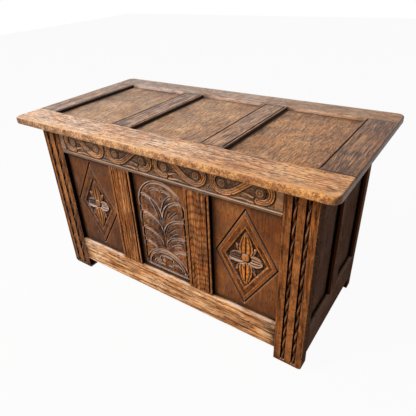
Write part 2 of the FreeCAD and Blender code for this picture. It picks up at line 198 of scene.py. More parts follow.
# the oak's looks: five colours from dark to pale, the colours of its marks, worn edges, and dirt
# and painted shade, and how strong each trace of age and each painted shade, highlight and sheen is;
# a marking is its length and width in mm and its strength
plainOak = {"bands": (300, 20, 0.10), "pores": (12, 1.3, 0.3), "film": 0.0, "lip": 0.9,
            "reveal": {}, "warmth": 0.0, "shade": (1.0, 1.0, 1.0), "rim": False, "sooty": False,
            "rough": 0.42, "specular": 0.0}
woodLooks = {
    "lidRail": dict(
        plainOak, mark=(112, 76, 58), worn=(244, 190, 132), dirt=(48, 32, 26),
        ramp=((134, 92, 66), (192, 143, 109), (230, 182, 147), (246, 204, 170), (255, 230, 198)),
        bands=(500, 34, 0.18), streaks=(110, 6, 0.55), lines=(60, 5.0, 0.95), dashes=(28, 6, 0.9),
        pores=(16, 3.0, 0.85), rings=(9, 0.05), blotch=0.28, cool=0.4, gleam=0.85, lip=3.2,
        reveal={"Y": 0.2}, warmth=1.0, shade=(0.27, 0.21, 0.175), rim=True, stain=0.75,
        specular=0.25),
    "lidPanel": dict(
        plainOak, mark=(92, 64, 50), worn=(178, 136, 106), dirt=(20, 13, 11),
        ramp=((104, 73, 50), (154, 112, 82), (187, 145, 109), (211, 167, 128), (242, 200, 158)),
        bands=(400, 22, 0.12), streaks=(60, 4.0, 0.5), lines=(28, 5.0, 0.9), dashes=(36, 3.0, 0.8),
        pores=(16, 3.4, 0.8), rings=(8, 0.0), blotch=0.34, cool=0.4, gleam=0.8, lip=3.0,
        warmth=1.0, stain=0.75, specular=0.22),
    "lidEnd": dict(
        plainOak, mark=(58, 40, 32), worn=(206, 154, 112), dirt=(14, 9, 8),
        ramp=((66, 44, 34), (122, 90, 72), (164, 129, 107), (192, 152, 126), (226, 186, 156)),
        bands=(400, 24, 0.24), streaks=(140, 4.0, 0.7), lines=(110, 4.2, 0.95),
        dashes=(50, 4.0, 0.9), pores=(24, 2.4, 0.75), rings=(10, 0.12), blotch=0.32, cool=0.5,
        gleam=0.95, lip=3.0, warmth=1.0, shade=(0.27, 0.21, 0.175), stain=0.8, specular=0.2),
    "frame": dict(
        plainOak, mark=(44, 24, 15), worn=(196, 126, 72), dirt=(9, 5, 4), film=0.6,
        ramp=((62, 36, 24), (104, 64, 40), (131, 82, 49), (160, 101, 59), (206, 140, 84)),
        streaks=(120, 5.5, 0.42), lines=(120, 6.0, 0.85), dashes=(40, 7, 0.6), pores=(18, 3.0, 0.5),
        rings=(9, 0.28), blotch=0.18, cool=0.3, gleam=0.6, warmth=0.5, shade=(0.36, 0.57, 1.3),
        stain=0.85, rough=0.5),
    "bottomRail": dict(
        plainOak, mark=(88, 54, 36), worn=(246, 192, 136), dirt=(26, 16, 12), film=0.15,
        ramp=((118, 76, 48), (164, 114, 78), (196, 139, 94), (222, 165, 115), (250, 208, 166)),
        bands=(500, 22, 0.12), streaks=(150, 6.5, 0.55), lines=(140, 5.0, 0.95),
        dashes=(60, 6, 0.8), pores=(18, 3.2, 0.65), rings=(13, 0.34), blotch=0.26, cool=0.25,
        gleam=0.65, warmth=0.4, shade=(0.36, 0.57, 1.3), stain=0.9, rough=0.5),
    "frieze": dict(
        plainOak, mark=(58, 38, 28), worn=(238, 158, 90), dirt=(14, 10, 9), film=0.25,
        ramp=((66, 50, 41), (100, 77, 62), (130, 100, 80), (160, 124, 97), (204, 163, 130)),
        streaks=(40, 7, 0.2), lines=(60, 3.6, 0.4), dashes=(26, 6, 0.35), rings=(9, 0.0),
        blotch=0.2, cool=0.6, gleam=0.3, lip=5.0, warmth=0.6, shade=(0.6, 0.75, 1.1), stain=0.5,
        specular=0.05),
    "carved": dict(
        plainOak, mark=(60, 38, 27), worn=(226, 142, 70), dirt=(14, 9, 7), film=0.8,
        ramp=((56, 31, 18), (88, 51, 30), (114, 69, 40), (140, 89, 52), (184, 126, 78)),
        bands=(300, 22, 0.10), streaks=(50, 6, 0.16), lines=(60, 3.2, 0.3), dashes=(30, 5, 0.25),
        pores=(14, 3.0, 0.4), rings=(9, 0.0), blotch=0.2, cool=0.3, gleam=0.25, lip=6.0,
        reveal={"X": 0.6}, warmth=0.7, shade=(0.6, 0.75, 1.1), stain=0.45, specular=0.04),
    "side": dict(
        plainOak, mark=(58, 40, 32), worn=(170, 122, 92), dirt=(14, 10, 8), film=0.5,
        ramp=((84, 60, 50), (114, 84, 70), (132, 101, 87), (152, 118, 102), (184, 148, 130)),
        bands=(300, 26, 0.14), streaks=(80, 10, 0.22), lines=(110, 4.0, 0.6), dashes=(40, 8, 0.5),
        rings=(10, 0.12), blotch=0.18, cool=0.35, gleam=0.35, reveal={"Y": 0.0}, sooty=True,
        stain=0.4, rough=0.75),
    "inside": dict(
        plainOak, mark=(76, 54, 40), worn=(170, 140, 112), dirt=(44, 32, 26),
        ramp=((94, 72, 56), (122, 98, 78), (146, 118, 94), (168, 138, 112), (196, 166, 138)),
        bands=(400, 30, 0.12), streaks=(80, 8, 0.2), lines=(110, 3.6, 0.4), dashes=(40, 6, 0.4),
        rings=(9, 0.2), blotch=0.14, cool=0.2, gleam=0.3, lip=40.0,
        reveal={"X": 0.0, "Y": 0.0, "Z": 0.0}, stain=0.3, rough=0.75),
}
woodLooks["lidBack"] = dict(
    woodLooks["lidRail"], cool=0.6, gleam=0.45, rim=False, worn=(212, 168, 146),
    ramp=((112, 90, 78), (152, 124, 109), (177, 148, 130), (200, 172, 152), (228, 206, 190)))

# what age does to all of it, and the light painted on it: the colours of the pale painted
# highlight, grey patches, stains and painted shade, the painted lit brown on the sides and the lid's
# rubbed edge, the painted sheen's tints from left to right, and where the rubbed strip and the
# painted shadow in the side reveals end
patina = {"film": (224, 200, 184), "dusk": (112, 98, 92), "stain": (66, 52, 47),
          "litFlank": (84, 42, 25), "rim": ((66, 36, 20), (170, 114, 70), (246, 196, 132)),
          "amber": (1.14, 0.92, 0.62),
          "sheenTints": ((0.94, 1.02, 1.14), (1.0, 1.0, 1.0), (0.93, 0.77, 0.56)),
          "rubbedStrip": (-288 * mm, -264 * mm), "revealShadow": (495.5 * mm, 498.5 * mm)}


def oak(name, look, grain):
    # grain names the axis along the board and the one across it, such as XZ
    finish = Finish(name)
    axes = dict(zip("XYZ", finish.place()))
    facing = finish.facing()
    along = axes[grain[0]]
    deep = axes[(set("XYZ") - set(grain)).pop()]
    inward = (deep - finish.attribute("face")).size()
    seed = finish.attribute("seed")

    def swing(noise):
        return (noise - 0.5) * 4.0

    def even(perMetre, shift=0.0):
        return finish.vector(axes["X"] * perMetre + seed * 5.0 + shift, axes["Y"] * perMetre,
                             axes["Z"] * perMetre)

    slow = finish.vector(along * 4.0 + seed * 9.0, axes[grain[1]] * 9.0, deep * 9.0)
    drift = finish.noise(slow, 2.0)
    across = axes[grain[1]] + swing(drift) * 0.004

    def laid(marking, shift, detail, rough=0.6):
        # noise drawn out along the grain
        perLength, perWidth = [1.0 / (size * mm) for size in marking[:2]]
        spot = finish.vector((along + seed * 3.7) * perLength + shift, across * perWidth,
                             deep * perWidth)
        return finish.noise(spot, detail, rough)

    bands = laid(look["bands"], 0.0, 2.0, 0.5)
    streaks = laid(look["streaks"], 9.0, 5.0, 0.7)
    lines = laid(look["lines"], 5.0, 3.0)
    dashes = laid(look["dashes"], 2.0, 4.0)
    pores = laid(look["pores"], 3.0, 1.0, 0.5)
    freckles = finish.noise(even(140.0), 3.0, 0.65)
    blotch = finish.noise(even(12.0), 4.0, 0.6)
    patches = finish.noise(even(34.0, 4.0), 3.0, 0.6)
    # growth rings round a heart that runs slantwise below the face
    fromHeart = across - finish.attribute("heart")
    below = (along - finish.attribute("root")) * finish.attribute("slant")
    below = below + inward * 0.8 + swing(drift) * 0.012
    radius = (fromHeart * fromHeart + below * below) ** 0.5
    ringGap, ringAmount = look["rings"]
    ring = (radius * (2000.0 * math.pi / ringGap) + swing(streaks) * 0.9).sine() * 0.5 + 0.5
    early = ring.between(0.35, 0.95)
    value = 0.5 + swing(bands) * look["bands"][2] - (early - 0.45) * ringAmount
    value = value + swing(streaks) * look["streaks"][2]
    value = (value + swing(blotch) * look["blotch"] + finish.attribute("tone")).clamped()
    finish.colour = finish.ramp(value, (0.0, 0.25, 0.5, 0.75, 1.0), map(tint, look["ramp"]))
    gleam = (1.0 - dashes.between(0.34, 0.43)) * look["gleam"]
    finish.coat(gleam, dye(look["ramp"][4]))
    # grey patches, and amber ones
    dusk = finish.mix(0.5, finish.colour, dye(patina["dusk"]))
    finish.coat(patches.between(0.5, 0.68) * look["cool"], dusk)
    amber = finish.noise(even(18.0, 8.0), 3.0, 0.55).between(0.4, 0.66) * 0.65
    finish.coat(amber, rgb(*patina["amber"]), "MULTIPLY")
    # cracks, dashes and pores along the grain
    lineMask = lines.between(0.56, 0.66) * look["lines"][2]
    dashMask = dashes.between(0.57, 0.65) * look["dashes"][2]
    poreMask = pores.between(0.55, 0.68) * (look["pores"][2] + early * 0.35)
    finish.coat(lineMask.atLeast(dashMask).atLeast(poreMask), dye(look["mark"]))
    # stains, and painted shade, at the named sides; and edges that are worn pale and dented
    sunk, edge, joint = [finish.attribute(label) for label in ("sunk", "edge", "joint")]
    patchy = blotch.between(0.35, 0.62)
    stainedAndShaded = (finish.attribute("stain") * (1.3 - patchy)).clamped() * look["stain"]
    finish.coat(stainedAndShaded, dye(patina["stain"]))
    wear = (edge * (0.45 + patchy * 0.5) * (1.0 - dashMask * 0.6)).clamped()
    finish.coat(wear, dye(look["worn"]))
    finish.coat((edge * freckles.between(0.50, 0.60) * 0.6).clamped(), dye(look["mark"]))
    if look["rim"]:
        # the lid's front edge is rubbed golden and dented
        rubbed = 1.0 - axes["Y"].between(*patina["rubbedStrip"])
        rubbed = (rubbed * freckles.between(0.38, 0.56) * 0.6).clamped()
        finish.coat(rubbed, dye(look["worn"]))
        dents = finish.noise(even(230.0, 2.0), 4.0, 0.75, 0.4)
        speckle = 0.45 + axes["X"] * 0.3 + swing(dents) * 0.62 + swing(patches) * 0.4
        rim = finish.ramp(speckle.clamped(), (0.0, 0.5, 1.0), map(tint, patina["rim"]))
        finish.coat((0.0 - facing[1]).between(0.25, 0.7), rim)
    # dirt and painted shade in what is cut in, painted shade on the walls of the recesses that face
    # sideways and at the panels' margins, but not on the free edges
    walls = inward.between(look["lip"] * mm, (look["lip"] + 2.5) * mm)
    walls = walls * (1.0 - inward.between(19 * mm, 24 * mm))
    shadedSides = 0.0
    for axis in grain:
        aside = facing["XYZ".index(axis)]
        aside = 0.0 - aside if axis == "Z" else aside.size()
        shadedSides = (aside.between(0.3, 0.7) * look["reveal"].get(axis, 1.0)).atLeast(shadedSides)
    walls = walls * shadedSides * (1.0 - finish.attribute("free"))
    grimeAndShade = (sunk * 0.95).atLeast(walls * 0.97).atLeast(joint * (0.35 + patchy * 0.45)).clamped()
    finish.coat(grimeAndShade, dye(look["dirt"]))
    # pale painted highlights, with some bleaching by wear, on crests, fillets and the edges of cuts
    pale = finish.attribute("pale") * (0.6 + swing(freckles) * 0.3)
    pale = pale * (1.0 - inward.between(8 * mm, 13 * mm))
    finish.coat(pale.clamped(), dye(patina["film"]))
    if look["sooty"]:
        # painted light and shade on the sides: what faces forward is painted lit brown at the arris
        # and painted black shadow behind it
        forward = (0.0 - facing[1]).between(0.3, 0.7)
        finish.coat(forward, dye(patina["litFlank"]))
        revealShadow = forward * (1.0 - axes["X"].size().between(*patina["revealShadow"]))
        finish.coat(revealShadow, dye(look["dirt"]))
    if look["film"]:
        # a pale painted highlight on what looks up, over dirt and painted shade in the corner behind
        corner = facing[2].between(0.3, 0.7) * inward.between(6 * mm, 12 * mm) * 0.85
        finish.coat(corner, dye(look["dirt"]))
        upward = facing[2].between(0.2, 0.6) * (0.7 + swing(freckles) * 0.3 + swing(blotch) * 0.4)
        film = upward * look["film"] * (1.0 - joint * 0.6) * (1.0 - sunk * 0.45)
        film = film * (1.0 - inward.between(5 * mm, 11 * mm))
        finish.coat(film.clamped(), dye(patina["film"]))
    # a painted sheen: greyer to the left and yellower to the right
    warmth = finish.ramp(axes["X"] * 0.9 + 0.5, (0.1, 0.5, 0.9), patina["sheenTints"])
    finish.coat(look["warmth"], warmth, "MULTIPLY")
    shaded = facing[0].between(0.35, 0.7) * (0.93 + swing(freckles) * 0.12).clamped()
    finish.coat(shaded, rgb(*look["shade"]), "MULTIPLY")
    finish.set("Base Color", finish.colour)
    rough = look["rough"] + swing(streaks) * 0.05 + swing(blotch) * 0.04 + grimeAndShade * 0.2
    finish.set("Roughness", rough.clamped())
    finish.set("Specular IOR Level", look["specular"])
    height = streaks * 0.9 - poreMask * 0.5 - dashMask * 0.6 - lineMask * 0.5 - early * 0.12
    finish.set("Normal", finish.bump(0.6, 0.0013, height))
    return finish.material


oaks = {}


def oakFor(lookName, grain):
    if (lookName, grain) not in oaks:
        name = lookName + "Oak" + grain
        oaks[(lookName, grain)] = oak(name, woodLooks[lookName], grain)
    return oaks[(lookName, grain)]


# the hinges, screws and nails
ironLook = {"iron": (0.045, 0.042, 0.04), "rust": (0.10, 0.045, 0.022), "rusty": 0.6,
            "perMetre": 90.0, "rough": 0.42}


def iron():
    finish = Finish("wroughtIron")
    spot = finish.vector(*[axis * ironLook["perMetre"] for axis in finish.place()])
    cloud = finish.noise(spot, 5.0, 0.65)
    rust = cloud.between(0.52, 0.68)
    finish.colour = rgb(*ironLook["iron"])
    finish.coat(rust * ironLook["rusty"], rgb(*ironLook["rust"]))
    finish.set("Base Color", finish.colour)
    finish.set("Metallic", 1.0 - rust * 0.7)
    finish.set("Roughness", ironLook["rough"] + cloud * 0.35)
    finish.set("Normal", finish.bump(0.4, 0.0004, cloud))
    return finish.material


ironFinish = iron()
print("iron made, and the oak's recipe")


def deselectAll():
    bpy.ops.object.select_all(action="DESELECT")


def softNoise(u, v, sizeU, sizeV, seed):
    # smooth random hills between -1 and 1; the sizes are their spacings
    lattice = np.random.default_rng(seed).uniform(-1.0, 1.0, (64, 64))
    a, b = u / sizeU + 1000.0, v / sizeV + 1000.0
    i, j = np.floor(a).astype(int), np.floor(b).astype(int)
    p, q = a - i, b - j
    p, q = p * p * (3 - 2 * p), q * q * (3 - 2 * q)
    i, j, i1, j1 = i % 64, j % 64, (i + 1) % 64, (j + 1) % 64
    low = lattice[i, j] * (1 - p) + lattice[i1, j] * p
    high = lattice[i, j1] * (1 - p) + lattice[i1, j1] * p
    return low * (1 - q) + high * q


def smoothLine(points, step=1.2):
    # a smooth line through the points, as samples a step apart
    points = np.array(points, float)
    ends = np.vstack([2 * points[0] - points[1], points, 2 * points[-1] - points[-2]])
    samples = []
    for k in range(1, len(ends) - 2):
        before, start, end, after = ends[k - 1:k + 3]
        count = max(2, int(np.hypot(*(end - start)) / step))
        t = np.arange(count)[:, None] / count
        samples.append(0.5 * (2 * start + (end - before) * t
                              + (2 * before - 5 * start + 4 * end - after) * t ** 2
                              + (3 * start - before - 3 * end + after) * t ** 3))
    samples.append(points[-1:])
    return np.vstack(samples)


# a face under the chisel, in millimetres: how deep each point is cut, and how it is coloured:
# dirt and painted shade in the cuts, gold on the rubbed crests, and pale painted highlights with
# some wear
class Carving:
    def __init__(self, u, v):
        self.u = u / mm
        self.v = v / mm
        self.depth = np.zeros_like(self.u)
        self.dark = np.zeros_like(self.u)
        self.gold = np.zeros_like(self.u)
        self.pale = np.zeros_like(self.u)

    def follow(self, line, reach):
        # the points near a line: their offset to its left, and how far along it they are
        samples = smoothLine(line)
        low, high = samples.min(0) - reach, samples.max(0) + reach
        chosen = np.nonzero((self.u > low[0]) & (self.u < high[0])
                            & (self.v > low[1]) & (self.v < high[1]))[0]
        nearest = np.empty(len(chosen), int)
        for start in range(0, len(chosen), 4000):
            part = chosen[start:start + 4000]
            gapU = self.u[part, None] - samples[None, :, 0]
            gapV = self.v[part, None] - samples[None, :, 1]
            nearest[start:start + 4000] = (gapU ** 2 + gapV ** 2).argmin(1)
        tangent = np.gradient(samples, axis=0)[nearest]
        gapU = self.u[chosen] - samples[nearest, 0]
        gapV = self.v[chosen] - samples[nearest, 1]
        side = np.sign(tangent[:, 0] * gapV - tangent[:, 1] * gapU)
        distance = np.hypot(gapU, gapV)
        runs = np.concatenate([[0.0], np.cumsum(np.hypot(*np.diff(samples, axis=0).T))])
        return chosen, side * distance, runs[nearest], runs[-1]

    def groove(self, line, width, depth, lean=0.0, taper=8.0, dirt=1.0, rim=0.0):
        # a V cut, darkened by dirt and painted shade; a positive lean steepens the wall on the
        # line's left, and a positive rim paints a pale highlight along the edge there that is as
        # many mm wide
        chosen, offset, run, length = self.follow(line, width + abs(rim))
        fade = np.clip(np.minimum(run, length - run) / taper, 0.12, 1.0) if taper else 1.0
        half = width / 2 * fade
        bottom = lean * half
        walls = np.minimum((half - offset) / (half - bottom), (offset + half) / (bottom + half))
        walls = np.clip(walls, 0.0, 1.0)
        self.depth[chosen] = np.maximum(self.depth[chosen], depth * fade * walls)
        shadow = np.clip(walls * 2.2, 0, 1) * (0.4 + 0.6 * fade) * dirt
        self.dark[chosen] = np.maximum(self.dark[chosen], shadow)
        if rim:
            beside = (offset * math.copysign(1, rim) - half * 0.85) / abs(rim)
            strength = np.clip(4.0 * beside * (1 - beside), 0, 1) * fade
            strength *= 0.8 + 0.35 * softNoise(self.u[chosen], self.v[chosen], 9, 9, 25)
            self.pale[chosen] = np.maximum(self.pale[chosen], strength * (walls < 0.3))
            self.dark[chosen] *= 1 - 0.8 * strength * (walls < 0.3)

    def band(self, line, widths, ridges, furrow=1.5, top=0.2, slope=1.6, moat=3.0, ground=4.0,
             pale=0.0):
        # a strip left standing, with rounded ridges along it and a moat round it
        chosen, offset, run, length = self.follow(line, max(widths) / 2 + moat + 1.0)
        half = np.interp(run / length, np.linspace(0, 1, len(widths)), widths) / 2
        outside = np.abs(offset) - half
        phase = np.clip((offset / half + 1) / 2, 0.0, 0.9999) * ridges
        phase = phase - np.floor(phase)
        crest = (4 * phase * (1 - phase)) ** 0.9
        level = top + furrow * (1 - crest)
        wall = top + furrow + outside * slope
        near = (outside > 0) & (outside < moat)
        inside = outside <= 0
        now = self.depth[chosen]
        now = np.where(near, np.maximum(now, np.minimum(ground, wall)), now)
        self.depth[chosen] = np.where(inside, level, now)
        # painted shade in the moat and the furrows, gold on the rubbed crests and a pale painted
        # highlight on them
        shadow = self.dark[chosen]
        shadow = np.where(near, np.maximum(shadow, 1.0 - 0.5 * outside / moat), shadow)
        self.dark[chosen] = np.where(inside, np.clip(1.75 - 3.0 * crest, 0, 1), shadow)
        self.gold[chosen] = np.where(inside, np.clip(crest * 3.2 - 1.7, 0, 1), self.gold[chosen])
        bleachedAndLit = np.clip(crest * 3.0 - 2.1, 0, 1) * pale
        self.pale[chosen] = np.where(inside, bleachedAndLit, self.pale[chosen] * (outside > moat))

    def turned(self, centre, radii, depths, gold=0.6):
        # a shape that looks turned, such as a rosette or a boss
        reach = np.hypot(self.u - centre[0], self.v - centre[1])
        inside = reach < radii[-1]
        depth = np.interp(reach[inside], radii, depths)
        self.depth[inside] = depth
        self.dark[inside] = np.clip((depth - 1.0) / 1.2, 0, 1)
        self.gold[inside] = np.clip(1.2 - depth, 0, 1) * gold

    def petal(self, start, angle, length, widths, levels, ribs=0, moat=3.0, ground=3.5, gold=0.0,
              pale=0.0):
        # a petal from its start outwards: its widths at even steps, its depths at the rim
        # and in the middle, and how many ribs it has
        turn = math.radians(angle)
        du, dv = self.u - start[0], self.v - start[1]
        run = (du * math.cos(turn) + dv * math.sin(turn)) / length
        offset = -du * math.sin(turn) + dv * math.cos(turn)
        half = np.interp(run, np.linspace(0, 1, len(widths)), widths) / 2
        half = np.maximum(half, 0.3)
        b = offset / half
        beyond = np.maximum(run - 1, -run) * length
        outside = np.maximum((np.abs(b) - 1) * half, beyond)
        level = levels[0] + (levels[1] - levels[0]) * (1 - b ** 2)
        wave = np.cos(ribs * math.pi * b) if ribs else np.zeros_like(b)
        level = level + 0.7 * wave
        # painted shade in the moat round it; inside, dark furrows, with gold and a pale painted
        # highlight on the ribs
        near = (outside > 0) & (outside < moat)
        moatDepth = np.minimum(ground, levels[0] + 1.6 * outside[near])
        self.depth[near] = np.maximum(self.depth[near], moatDepth)
        self.dark[near] = np.maximum(self.dark[near], 0.95)
        inside = outside <= 0
        self.depth[inside] = level[inside]
        self.dark[inside] = np.clip(wave[inside] * 1.1 - 0.25, 0, 0.8)
        self.gold[inside] = np.clip(0.75 - wave[inside] * 0.6, 0, 1) * gold
        self.pale[inside] = pale * np.clip(0.5 - wave[inside] * 0.8, 0, 1)


def blurred(field, reach):
    # the mean over a square of cells, from running sums
    for axis in (0, 1):
        padding = [(0, 0), (0, 0)]
        padding[axis] = (reach + 1, reach)
        sums = np.cumsum(np.pad(field, padding, mode="edge"), axis=axis)
        size = field.shape[axis]
        after = np.take(sums, range(2 * reach + 1, 2 * reach + 1 + size), axis=axis)
        before = np.take(sums, range(size), axis=axis)
        field = (after - before) / (2 * reach + 1)
    return field


def linesAcross(length, arrisLow, arrisHigh, cell, extras):
    # distances from one edge: a fan over each rounded arris, even cells, and the extra lines
    fan = 1 - np.cos(np.radians([0, 22.5, 45, 67.5, 90]))
    start = arrisLow * fan
    end = length - arrisHigh * fan
    low, high = start[-1] + 1.5 * mm, end[-1] - 1.5 * mm
    middle = np.linspace(low, high, max(1, round((high - low) / cell)) + 1)
    lines = np.unique(np.concatenate([start, end, middle, extras]))
    keep = np.concatenate([[True], np.diff(lines) > 0.12 * mm])
    lines = lines[keep]
    lines[-1] = length
    return lines


# what a board is like unless its piece says otherwise: sizes of its arrises in front and behind,
# its grid's cells, how wavy and wobbly it is, round corners, extra grid lines, chipped arrises,
# the sides where it meets others, the sides whose margins get painted shade, the sides that get
# stains and painted shade, and where its growth rings lie
boardShape = {"arris": {}, "rear": {}, "cell": (8 * mm, 8 * mm), "wave": 0.25 * mm,
              "wobble": 0.3 * mm, "corner": 0.0, "corners": (), "extraU": (), "extraV": (),
              "chips": 0.0, "joint": (), "seam": (), "stain": (), "stainAndShadeReach": 24 * mm,
              "heart": 0.0, "root": -0.6, "slant": 0.09, "tone": 0.0}


def board(name, facing, low, high, seed, relief=None, **changes):
    shape = dict(boardShape, **changes)
    across, upward, inward = facings[facing]
    ends = [Vector(low), Vector(high)]
    uRange = sorted(across.dot(end) for end in ends)
    vRange = sorted(upward.dot(end) for end in ends)
    wRange = sorted(inward.dot(end) for end in ends)
    width, height = uRange[1] - uRange[0], vRange[1] - vRange[0]
    arris = {side: shape["arris"].get(side, 0.4 * mm) for side in allSides}
    extraU = np.array(shape["extraU"]) - uRange[0]
    extraV = np.array(shape["extraV"]) - vRange[0]
    us = linesAcross(width, arris["left"], arris["right"], shape["cell"][0], extraU)
    vs = linesAcross(height, arris["low"], arris["high"], shape["cell"][1], extraV)
    deselectAll()
    bpy.ops.mesh.primitive_grid_add(x_subdivisions=len(us) - 1, y_subdivisions=len(vs) - 1,
                                    size=1.0)
    piece = bpy.context.object
    piece.name = name
    mesh = piece.data
    mesh.name = name
    flat = np.empty(len(mesh.vertices) * 3)
    mesh.vertices.foreach_get("co", flat)
    flat = flat.reshape(-1, 3)
    i = np.rint((flat[:, 0] + 0.5) * (len(us) - 1)).astype(int)
    j = np.rint((flat[:, 1] + 0.5) * (len(vs) - 1)).astype(int)
    u, v = us[i], vs[j]
    distance = {"left": u, "right": width - u, "low": v, "high": height - v}
    border = np.minimum.reduce(list(distance.values()))
    uneven = softNoise(u, v, 0.035, 0.035, seed + 7)
    chips = shape["chips"] * np.clip(softNoise(u, v, 0.014, 0.014, seed + 8) - 0.35, 0.0, 1.0)
    rounding = np.zeros_like(u)
    edge = np.zeros_like(u)
    for side, gap in distance.items():
        size = arris[side]
        reach = np.clip(size - gap, 0.0, size)
        rounding = np.maximum(rounding, size - np.sqrt(np.maximum(size ** 2 - reach ** 2, 0.0)))
        if size > 0.8 * mm:
            worn = 1.15 - gap / (size * (1.3 + 0.4 * uneven) + 0.6 * mm)
            edge = np.maximum(edge, np.clip(worn, 0.0, 1.0))
            rounding = rounding + chips * np.exp(-gap / (3.0 * mm))
    carving = Carving(u + uRange[0], v + vRange[0])
    if relief:
        relief(carving)
    carve = carving.depth * mm
    wave = shape["wave"] * (0.6 + 0.5 * softNoise(u, v, 0.16, 0.07, seed))
    depth = np.maximum(rounding + carve + wave, 0.0)
    field = np.zeros((len(us), len(vs)))
    field[i, j] = carve
    around = blurred(field, 7)[i, j]
    # dirt and painted shade gather in what lies deeper than its surroundings, and what stands proud
    # is rubbed
    sunk = np.maximum(carving.dark, np.clip((carve - around) / (2.0 * mm), 0.0, 1.0) * 0.6)
    edge = np.maximum(edge * (1.0 - sunk), carving.gold)
    proud = np.clip((around - carve) / (1.6 * mm) - 0.3, 0.0, 0.7)
    edge = np.maximum(edge, proud * (1.0 - sunk))
    free, joint, stain = np.zeros_like(u), np.zeros_like(u), np.zeros_like(u)
    for side in shape["seam"]:
        sunk = np.maximum(sunk, np.clip(1.0 - distance[side] / (1.4 * mm), 0.0, 0.9))
    for side in shape["rear"]:
        free = np.maximum(free, np.clip(1.6 - distance[side] / (8 * mm), 0.0, 1.0))
    for side in shape["joint"]:
        joint = np.maximum(joint, np.exp(-distance[side] / (7.0 * mm)))
    for side in shape["stain"]:
        stain = np.maximum(stain, np.exp(-distance[side] / shape["stainAndShadeReach"]))
    u, v = roundedPlan(u, v, width, height, shape)
    pull = (softNoise(u, v, 0.05, 0.05, seed + 1) + 1.0) * 0.5
    pull = pull * shape["wobble"] * np.exp(-border / (6 * mm))
    u = np.where(u < width / 2, u + pull, u - pull)
    v = np.where(v < height / 2, v + pull, v - pull)
    points = (np.outer(u + uRange[0], across) + np.outer(v + vRange[0], upward)
              + np.outer(depth + wRange[0], inward))
    mesh.vertices.foreach_set("co", points.ravel())
    # what the finish reads at each point; face is where the uncut face lies on its own axis
    marks = {"sunk": sunk, "edge": edge, "pale": carving.pale, "joint": joint, "free": free,
             "stain": stain, "seed": np.random.default_rng(seed).uniform(0.1, 1.0),
             "face": wRange[0] * (1 if sum(inward) > 0 else -1)}
    for label in ("heart", "root", "slant", "tone"):
        marks[label] = shape[label]
    for label, values in marks.items():
        attribute = mesh.attributes.new(label, "FLOAT", "POINT")
        attribute.data.foreach_set("value", u * 0 + values)
    closeBoard(piece, facing, (uRange[0], vRange[0]), (width, height), wRange[1], shape)
    return piece


def roundedPlan(u, v, width, height, shape):
    # bends the square corners named in corners to arcs
    radius = shape["corner"]
    for across, up in shape["corners"]:
        fromU = u if across == "left" else width - u
        fromV = v if up == "low" else height - v
        x = np.clip(radius - fromU, 0.0, radius)
        y = np.clip(radius - fromV, 0.0, radius)
        reach = np.maximum(np.hypot(x, y), 1e-9)
        shrink = np.where((x > 0) & (y > 0), np.maximum(x, y) / reach, 1.0)
        newU, newV = radius - x * shrink, radius - y * shrink
        both = (x > 0) & (y > 0)
        u = np.where(both, newU if across == "left" else width - newU, u)
        v = np.where(both, newV if up == "low" else height - newV, v)
    return u, v


def closeBoard(piece, facing, start, size, rearPlace, shape):
    # draws the face's border back to the rear plane, eased along the free edges, and closes it
    across, upward, inward = facings[facing]
    rear = {side: shape["rear"].get(side, 0.0) for side in allSides}
    largest = max(rear.values())
    deselectAll()
    piece.select_set(True)
    bpy.context.view_layer.objects.active = piece
    bpy.ops.object.mode_set(mode="EDIT")
    bpy.ops.mesh.select_mode(type="EDGE")
    for angle in ((0, 30, 60, 90) if largest else (90,)):
        bpy.ops.mesh.select_all(action="DESELECT")
        bpy.ops.mesh.select_non_manifold(extend=False)
        bpy.ops.mesh.extrude_edges_indiv()
        bpy.ops.object.mode_set(mode="OBJECT")
        turn = math.radians(angle)
        inset = {side: amount * (1 - math.cos(turn)) for side, amount in rear.items()}
        place = rearPlace - largest * (1 - math.sin(turn))
        for vertex in piece.data.vertices:
            if not vertex.select:
                continue
            u, v = across.dot(vertex.co) - start[0], upward.dot(vertex.co) - start[1]
            u, v = insetCorner(u, v, size, shape, inset)
            vertex.co = across * (u + start[0]) + upward * (v + start[1]) + inward * place
            if angle == 90:
                # the back is plain
                for label in ("sunk", "edge", "pale", "joint", "stain"):
                    piece.data.attributes[label].data[vertex.index].value = 0.0
        bpy.ops.object.mode_set(mode="EDIT")
    bpy.ops.mesh.edge_face_add()
    bpy.ops.mesh.select_all(action="SELECT")
    bpy.ops.mesh.remove_doubles(threshold=0.01 * mm)
    bpy.ops.mesh.normals_make_consistent(inside=False)
    bpy.ops.object.mode_set(mode="OBJECT")
    bpy.ops.object.shade_smooth_by_angle(angle=math.radians(50))


def insetCorner(u, v, size, shape, inset):
    # where a border point goes when its edges move in; round corners shrink about their centres
    radius = shape["corner"]
    for side, end in shape["corners"]:
        fromU = u if side == "left" else size[0] - u
        fromV = v if end == "low" else size[1] - v
        if fromU < radius and fromV < radius:
            shrink = 1 - inset[side] / math.hypot(radius - fromU, radius - fromV)
            fromU = radius - (radius - fromU) * shrink
            fromV = radius - (radius - fromV) * shrink
            return (fromU if side == "left" else size[0] - fromU,
                    fromV if end == "low" else size[1] - fromV)
    return (min(max(u, inset["left"]), size[0] - inset["right"]),
            min(max(v, inset["low"]), size[1] - inset["high"]))


def dress(piece, lookName, grain, body, node):
    piece.data.materials.clear()
    piece.data.materials.append(oakFor(lookName, grain))
    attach(piece, body)
    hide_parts(node)


def seen(node, tenonX=0.0, tenonY=0.0, tenonZ=0.0):
    # a node's box without the tenons or the edges that other boards hide
    low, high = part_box(node)
    cut = Vector((tenonX, tenonY, tenonZ))
    return Vector(low) + cut, Vector(high) - cut


